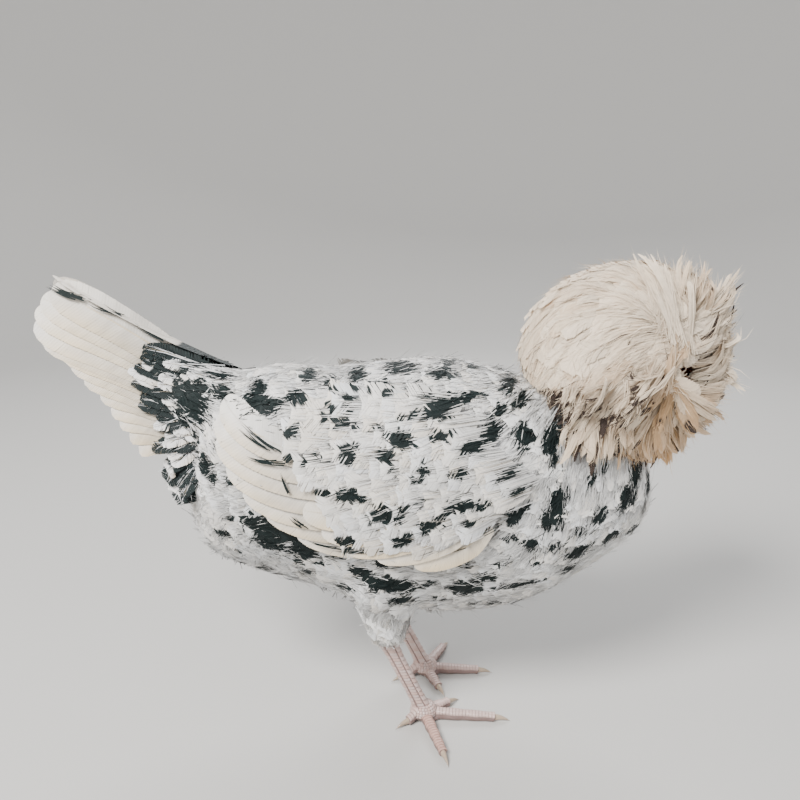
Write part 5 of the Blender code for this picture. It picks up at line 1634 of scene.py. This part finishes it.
def build_tail():
    draw = np.random.default_rng(SEEDS["tail"])
    coat = Coat(90, side_unwrap, tail_marks)
    for _, side in SIDES:
        for roots, tips, count, half_width, bow, layers, shape, barbs, warm in TAIL_TIERS:
            long = barbs > 30
            handles = sheet_curves(roots, tips, count, bow, draw, 0.03 if long else 0.24)
            facing = sideways(side, count)
            wide = half_width * draw.uniform(0.90, 1.06, count)
            strength = np.where(draw.random(count) < 0.66, draw.uniform(0.7, 1.0, count), 0.1)
            ending = np.where(draw.random(count) < 0.3, draw.uniform(0.5, 0.9, count), 1.3)
            coat.add(handles, facing, wide, shape, barbs, sweep=0.45, edge=0.06, own=0.0 if long else 0.1,
                     warm=warm * draw.uniform(0.6, 1.2, count), tone=draw.normal(0, 0.8, count), lower=side,
                     mark=None if long else covert_marks(strength, ending),
                     drape=draped(tail_tent, side, layers, 0.0022),
                     **(QUILL_CUT if long else TAIL_COVERT_CUT))
            over = draped(tail_tent, side, tuple(lift + SHAFT_LIFT for lift in layers), 0)
            coat.strands(handles, facing, SHAFT_HALF_WIDTH if long else 0.0002, warm=0.9,
                         tone=np.full(count, -1.0), mark=None if long else 0.0, drape=over)
            if not long:
                many = np.repeat(np.arange(count), 12)
                fine = handles[many] + draw.normal(0, 0.0030, (len(many), 4, 3)) * (1, 0, 1)
                dim = draw.random(len(many)) < 0.6
                coat.strands(fine, facing[many], 0.0004, tone=draw.normal(-1, 2, len(many)), mark=dim * 0.9,
                             drape=over)
        add_dark_wisps_and_shade(coat, side, tail_tent, TAIL_WISP_AND_SHADE_LINES, 0.0034)
    share = np.array((0.0, 0.35, 0.7, 1.0))
    start = -0.118
    for aside, end in ((-0.0030, -0.242), (0.0030, -0.246), (0.0, -0.236)):
        x = start + (end - start) * share
        middle = joined(x, aside * share, TAIL_TOP(x) + 0.001)[None]
        coat.add(middle, np.array([[0.45, 0, 1.0]]), 0.0076, LONG_VANE, barbs=40, gap=0.0, spike=0.15,
                 fray=0.06, sweep=0.45, cup=0.25, edge=0.02, own=0.0, warm=0.4)
    coat.piece("tail_feathers", body_plumage(), "plumage", "tail")


def backdrop_mesh(sides=120):
    """A round floor that rises into a wall, as one profile spun once round."""
    bm = bmesh.new()
    profile = [bm.verts.new((radius, 0.0, height)) for radius, height in BACKDROP]
    lines = [bm.edges.new(pair) for pair in zip(profile, profile[1:])]
    bmesh.ops.spin(bm, geom=profile + lines, cent=(0, 0, 0), axis=(0, 0, 1), angle=math.tau, steps=sides,
                   use_merge=True, use_duplicate=False)
    bmesh.ops.remove_doubles(bm, verts=bm.verts, dist=1e-5)
    bm.normal_update()
    if sum(face.normal.z for face in bm.faces) < 0:
        bmesh.ops.reverse_faces(bm, faces=bm.faces)
    for face in bm.faces:
        face.smooth = True
    mesh = bpy.data.meshes.new("floor")
    bm.to_mesh(mesh)
    bm.free()
    return mesh


def build_face_feathers():
    """Small feathers of the head, smallest at the beak, which leave the face round the eyes bare."""
    draw = np.random.default_rng(SEEDS["face"])
    head = Surface(merged(head_forms()[:2], 0.0012, 2))

    def bearing(points):
        x, _, z = points.T
        eye, lobe = (np.minimum(*(np.linalg.norm(points - mirrored(middle, side), axis=1)
                                  for _, side in SIDES)) for middle in (EYE, LOBE))
        return (eye > 0.0085) & (x < 0.2335) & (x > 0.186) & (lobe > 0.0055) & (z < 0.300)

    places, normals = head.scatter(draw, 0.0019, bearing)
    way = along_surface(np.array((-1.0, 0.0, -0.45)), normals)
    way = turned(way, normals, draw.normal(0, 0.15, len(places)))
    number = len(places)
    length = mixed_share(ramp(0.236 - places[:, 0], 0, 0.030), 0.0030, 0.0085)
    length = length * draw.uniform(0.8, 1.2, number)
    handles, facing = laid(head, places, normals, way, length, 0.0003, draw.uniform(0.0003, 0.0016, number))
    coat = Coat(44, crest_unwrap)
    coat.add(handles, facing, length * 0.20, HACKLE_VANE, barbs=4, gap=0.3, fray=0.6, spike=1.0,
             warm=draw.uniform(0.1, 0.5, number), tone=draw.normal(-1.5, 0.8, number))
    coat.piece("face_feathers", crest_plumage(), "plumage")


def build_eyes():
    for label, side in SIDES:
        points, faces = ball(mirrored(EYE, side), [EYE_RADIUS] * 3, 40, 28)
        way = unit(mirrored(EYE_OUTWARDS, side))
        height = (points - mirrored(EYE, side)) @ way
        away = np.linalg.norm(points - mirrored(EYE, side) - height[:, None] * way, axis=1)
        bulge = 0.0006 * ramp(height, EYE_RADIUS * 0.72, EYE_RADIUS)
        points = points + way * bulge[:, None]
        mesh = outwards(mesh_from("eye_" + label, points, faces))
        store_attribute(mesh, "tone", np.where(height > 0, away / (EYE_RADIUS * 0.86), 1.2))
        piece("eyeball_" + label, mesh, eye_finish(), "eye", "eye_" + label)


def beak_half(end, shift, rise, drop, tip):
    """Half a beak along the mouth line to its tip."""
    t = 1 - (1 - np.linspace(0, 0.97, 26)) ** 1.3
    start = MOUTH_BACK + UP * shift
    middle = start + (end + UP * shift - start) * t[:, None]
    angle = ring_angles(40)
    high = np.where(np.sin(angle) > 0, rise(t)[:, None], drop(t)[:, None]) * np.sin(angle)
    across = (BEAK_HALF_WIDTH * (1 - t) ** 0.6)[:, None] * np.cos(angle)
    points, faces = closed(middle[:, None] + joined(0, across, high))
    points[-1] = tip
    return points, faces


def beak_piece(name, points, faces, tone, finish, solid):
    mesh = outwards(mesh_from(name, points, faces))
    store_attribute(mesh, "tone", tone)
    piece(name, mesh, finish, "horn", solid)


def build_beak():
    finish = horn_finish()
    lip = Line((0, 0.0003), (0.7, 0.0003), (1, 0.0008))
    points, faces = beak_half(MOUTH_FRONT, 0, BEAK_RISE, lip, BEAK_TIP)
    for _, side in SIDES:
        away = np.linalg.norm((points - mirrored(NOSTRIL, side)) / NOSTRIL_SIZE, axis=1)
        points[:, 1] -= side * 0.0016 * (1 - ramp(away, 0.5, 1.0))
        points[:, 1] += side * 0.0005 * np.exp(-((away - 1.25) / 0.3) ** 2)
    beak_piece("upper_beak", points, faces, 1 - ramp(points[:, 0], 0.240, 0.250), finish, "beak_upper")
    lip = Line((0, 0.0003), (1, 0.0002))
    low_end = MOUTH_BACK + (MOUTH_FRONT - MOUTH_BACK) * 0.86
    points, faces = beak_half(low_end, -0.0009, lip, BEAK_DROP, low_end - UP * 0.0009)
    beak_piece("lower_beak", points, faces, np.zeros(len(points)), finish, "beak_lower")


def build_lobes():
    finish = lobe_finish()
    for label, side in SIDES:
        points, faces = ball(mirrored(LOBE, side), LOBE_SIZE, 28, 20)
        points[:, 2] -= 0.0006 * np.sin(points[:, 0] * 1400) ** 2
        piece("lobe_" + label, outwards(mesh_from("lobe", points, faces)), finish, "lobe", "earlobe_" + label)


def plate(grid, inward):
    """Points and faces of a thin closed plate under a grid of points."""
    rows, columns = grid.shape[:2]
    points = np.concatenate([grid.reshape(-1, 3), (grid + inward * SCUTE_DEPTH).reshape(-1, 3)])
    under = rows * columns
    faces = []
    for i in range(rows - 1):
        for a in range(i * columns, (i + 1) * columns - 1):
            corners = (a, a + 1, a + columns + 1, a + columns)
            faces += [corners, tuple(corner + under for corner in corners[::-1])]
    edge = [(0, j) for j in range(columns)] + [(i, columns - 1) for i in range(1, rows)]
    edge += [(rows - 1, j) for j in range(columns - 2, -1, -1)] + [(i, 0) for i in range(rows - 2, 0, -1)]
    loop = [i * columns + j for i, j in edge]
    faces += [(a, a + under, b + under, b) for a, b in zip(loop, loop[1:] + loop[:1])]
    return points, faces


def plate_grid(rows, columns):
    """Shares along and across a plate, and how far each of its points stands out."""
    along, across = np.meshgrid(np.linspace(0, 1, rows), np.linspace(-1, 1, columns), indexing="ij")
    rise = 0.00022 + 0.00042 * along**1.5 - 0.0002 * across**4
    return along, across, rise


def shank_plates(label, side):
    """Two rows of scutes down the front, and finer ones behind and at the sides."""
    plates = []
    for first, spread, count in SHANK_ROWS:
        for k in range(count):
            along, across, rise = plate_grid(5, 7)
            offset = 0.5 if first > 0 else 0.0
            t = (k + offset + along * 0.94 - 0.10 * across**2) / (count + 0.5)
            angle = first + across * spread * 0.93
            middle = shank_middle(label, side, t.ravel()).reshape(*t.shape, 3)
            way = joined(np.cos(angle), np.sin(angle), 0)
            size = joined(SHANK_HALF_LENGTH(t), SHANK_HALF_WIDTH(t), 0)
            plates.append((plate(middle + way * (size + rise[..., None]), -way), 0.25 * (k % 3)))
    return plates


def toe_plates(label, side, toe):
    """Scutes across the toe's top."""
    plates = []
    start, end, _ = toe_run(label, side, toe)
    count = max(4, round(float(np.linalg.norm(end - start)) / 0.0027))
    for k in range(count):
        along, across, rise = plate_grid(5, 11)
        t = (k + 0.1 + along * 0.94 - 0.12 * across**2) / (count + 0.1)
        middle, wide, high, aside = toe_frame(label, side, toe, t.ravel())
        angle = (math.pi / 2 + across * 1.25).ravel()
        side_share, level = toe_section(angle)
        out = np.cos(angle)[:, None] * aside + np.sin(angle)[:, None] * UP
        points = middle + aside * (wide * side_share)[:, None] + UP * (high * level)[:, None]
        points = points + out * rise.ravel()[:, None]
        tone = 0.9 if toe == "outer" and side < 0 else 0.3
        plates.append((plate(points.reshape(*t.shape, 3), -out.reshape(*t.shape, 3)), tone))
    return plates


def pad_plates(label):
    """Small scutes round the ball of the foot."""
    plates = []
    centre = FOOT[label] + UP * PAD_SIZE[2] * 0.9
    for row in range(7):
        level = math.radians(82 - row * 14)
        count = max(4, round(27 * math.cos(level)))
        for k in range(count):
            along, across, rise = plate_grid(5, 5)
            raised = level + (0.5 - along) * math.radians(13)
            turn = (k + 0.5 * (row % 2) + across * 0.46) * math.tau / count
            way = joined(np.cos(raised) * np.cos(turn), np.cos(raised) * np.sin(turn), np.sin(raised))
            points = centre + way * (np.array(PAD_SIZE) + rise[..., None])
            plates.append((plate(points, -way), 0.25 * (k % 3)))
    return plates


def build_feet():
    plates = []
    for label, side in SIDES:
        plates += shank_plates(label, side) + pad_plates(label)
        for toe in TOES[label]:
            plates += toe_plates(label, side, toe)
    points, faces = together([shape for shape, _ in plates])
    mesh = outwards(mesh_from("scutes", points, faces))
    store_attribute(mesh, "tone", np.concatenate([np.full(len(shape[0]), tone) for shape, tone in plates]))
    piece("scutes", mesh, scute_finish(), "shank")
    finish = horn_finish()
    for label, side in SIDES:
        for toe in TOES[label]:
            build_claw(label, side, toe, finish)


def build_claw(label, side, toe, finish):
    _, end, along = toe_run(label, side, toe)
    t = np.linspace(0, 0.97, 22)
    middle = (end + along * (CLAW_LENGTH * t * 0.98 - 0.0012)[:, None]
              + UP * (TOE_HEIGHT[1] * 0.52 * (1 - t**2.2) + 0.0009 * t)[:, None])
    radius = CLAW_RADIUS * (1 - t) ** 0.7
    drop = np.minimum(radius, middle[:, 2])
    stations = np.column_stack([middle, radius * 0.8, radius, drop])
    points, faces = closed(rings_along(stations, 22, 20))
    points[-1] = end + along * CLAW_LENGTH + UP * 0.0004
    mesh = outwards(mesh_from("claw", points, faces))
    share = np.clip((points - end) @ along / CLAW_LENGTH, 0, 1)
    store_attribute(mesh, "tone", 0.30 + share * 0.35)
    piece(f"nail_{label}_{toe}", mesh, finish, "horn", f"claw_{label}_{toe}")


def area_light(name, place, size, power, colour):
    data = bpy.data.lights.new(name, "AREA")
    data.shape = "DISK"
    data.size, data.energy, data.color = size, power, colour
    obj = placed(name, data)
    obj.location = place
    obj.rotation_euler = (Vector(LIGHT_TARGET) - Vector(place)).to_track_quat("-Z", "Y").to_euler()


def build_stage():
    finish = Finish("floor", 0.8)
    finish.surface(Base_Color=colours().floor)
    floor = placed("floor", backdrop_mesh())
    floor.data.materials.append(finish.material)
    for light in LIGHTS:
        area_light(*light)
    world = bpy.data.worlds.new("studio")
    world.use_nodes = True
    sky = world.node_tree.nodes["Background"].inputs
    sky["Color"].default_value = SKY
    sky["Strength"].default_value = SKY_STRENGTH
    bpy.context.scene.world = world
    data = bpy.data.cameras.new("camera")
    data.lens, data.sensor_width, data.clip_start = LENS, SENSOR, 0.01
    camera = placed("camera", data)
    camera.location = CAMERA
    camera.rotation_euler = (CAMERA_PITCH, 0, 0)
    bpy.context.scene.camera = camera


class HenOperator:
    """What the operators share."""

    bl_options = {"REGISTER", "UNDO"}

    def execute(self, context):
        for job in self.jobs:
            job()
        return {"FINISHED"}


class HEN_OT_skin(HenOperator, bpy.types.Operator):
    """Make the skin with its face, legs and toes"""

    bl_idname = "hen.skin"
    bl_label = "Skin"
    jobs = (build_skin,)


class HEN_OT_body(HenOperator, bpy.types.Operator):
    """Lay the feathers of body, neck and thighs on the skin"""

    bl_idname = "hen.body"
    bl_label = "Body Feathers"
    jobs = (build_body_feathers,)


class HEN_OT_crest(HenOperator, bpy.types.Operator):
    """Make the crest"""

    bl_idname = "hen.crest"
    bl_label = "Crest"
    jobs = (build_crest,)


class HEN_OT_wings(HenOperator, bpy.types.Operator):
    """Make both folded wings"""

    bl_idname = "hen.wings"
    bl_label = "Wings"
    jobs = (build_wings,)


class HEN_OT_tail(HenOperator, bpy.types.Operator):
    """Make the tail"""

    bl_idname = "hen.tail"
    bl_label = "Tail"
    jobs = (build_tail,)


class HEN_OT_face(HenOperator, bpy.types.Operator):
    """Make the eyes, the beak, the ear lobes and the small feathers of the head"""

    bl_idname = "hen.face"
    bl_label = "Face"
    jobs = (build_eyes, build_beak, build_lobes, build_face_feathers)


class HEN_OT_feet(HenOperator, bpy.types.Operator):
    """Make the scutes and the claws"""

    bl_idname = "hen.feet"
    bl_label = "Feet"
    jobs = (build_feet,)


class HEN_OT_stage(HenOperator, bpy.types.Operator):
    """Set the floor, the light and the camera"""

    bl_idname = "hen.stage"
    bl_label = "Stage"
    jobs = (build_stage,)


OPERATORS = (HEN_OT_skin, HEN_OT_body, HEN_OT_crest, HEN_OT_wings, HEN_OT_tail, HEN_OT_face, HEN_OT_feet,
             HEN_OT_stage)


class HEN_PT_panel(bpy.types.Panel):
    """The hen's operators, sizes and colours"""

    bl_label = "Crested Hen"
    bl_idname = "HEN_PT_panel"
    bl_space_type = "VIEW_3D"
    bl_region_type = "UI"
    bl_category = "Hen"

    def draw(self, context):
        for group in (context.scene.hen_sizes, context.scene.hen_colours):
            column = self.layout.column(align=True)
            for name in group.__annotations__:
                column.prop(group, name)
        column = self.layout.column(align=True)
        for operator in OPERATORS:
            column.operator(operator.bl_idname)


CLASSES = (HenSizes, HenColours, *OPERATORS, HEN_PT_panel)


def register():
    for cls in CLASSES:
        bpy.utils.register_class(cls)
    bpy.types.Scene.hen_sizes = PointerProperty(type=HenSizes)
    bpy.types.Scene.hen_colours = PointerProperty(type=HenColours)


def unregister():
    del bpy.types.Scene.hen_colours
    del bpy.types.Scene.hen_sizes
    for cls in reversed(CLASSES):
        bpy.utils.unregister_class(cls)


def main():
    register()
    bpy.ops.hen.skin()
    bpy.ops.hen.body()
    bpy.ops.hen.crest()
    bpy.ops.hen.wings()
    bpy.ops.hen.tail()
    bpy.ops.hen.face()
    bpy.ops.hen.feet()
    bpy.ops.hen.stage()


if __name__ == "__main__":
    main()
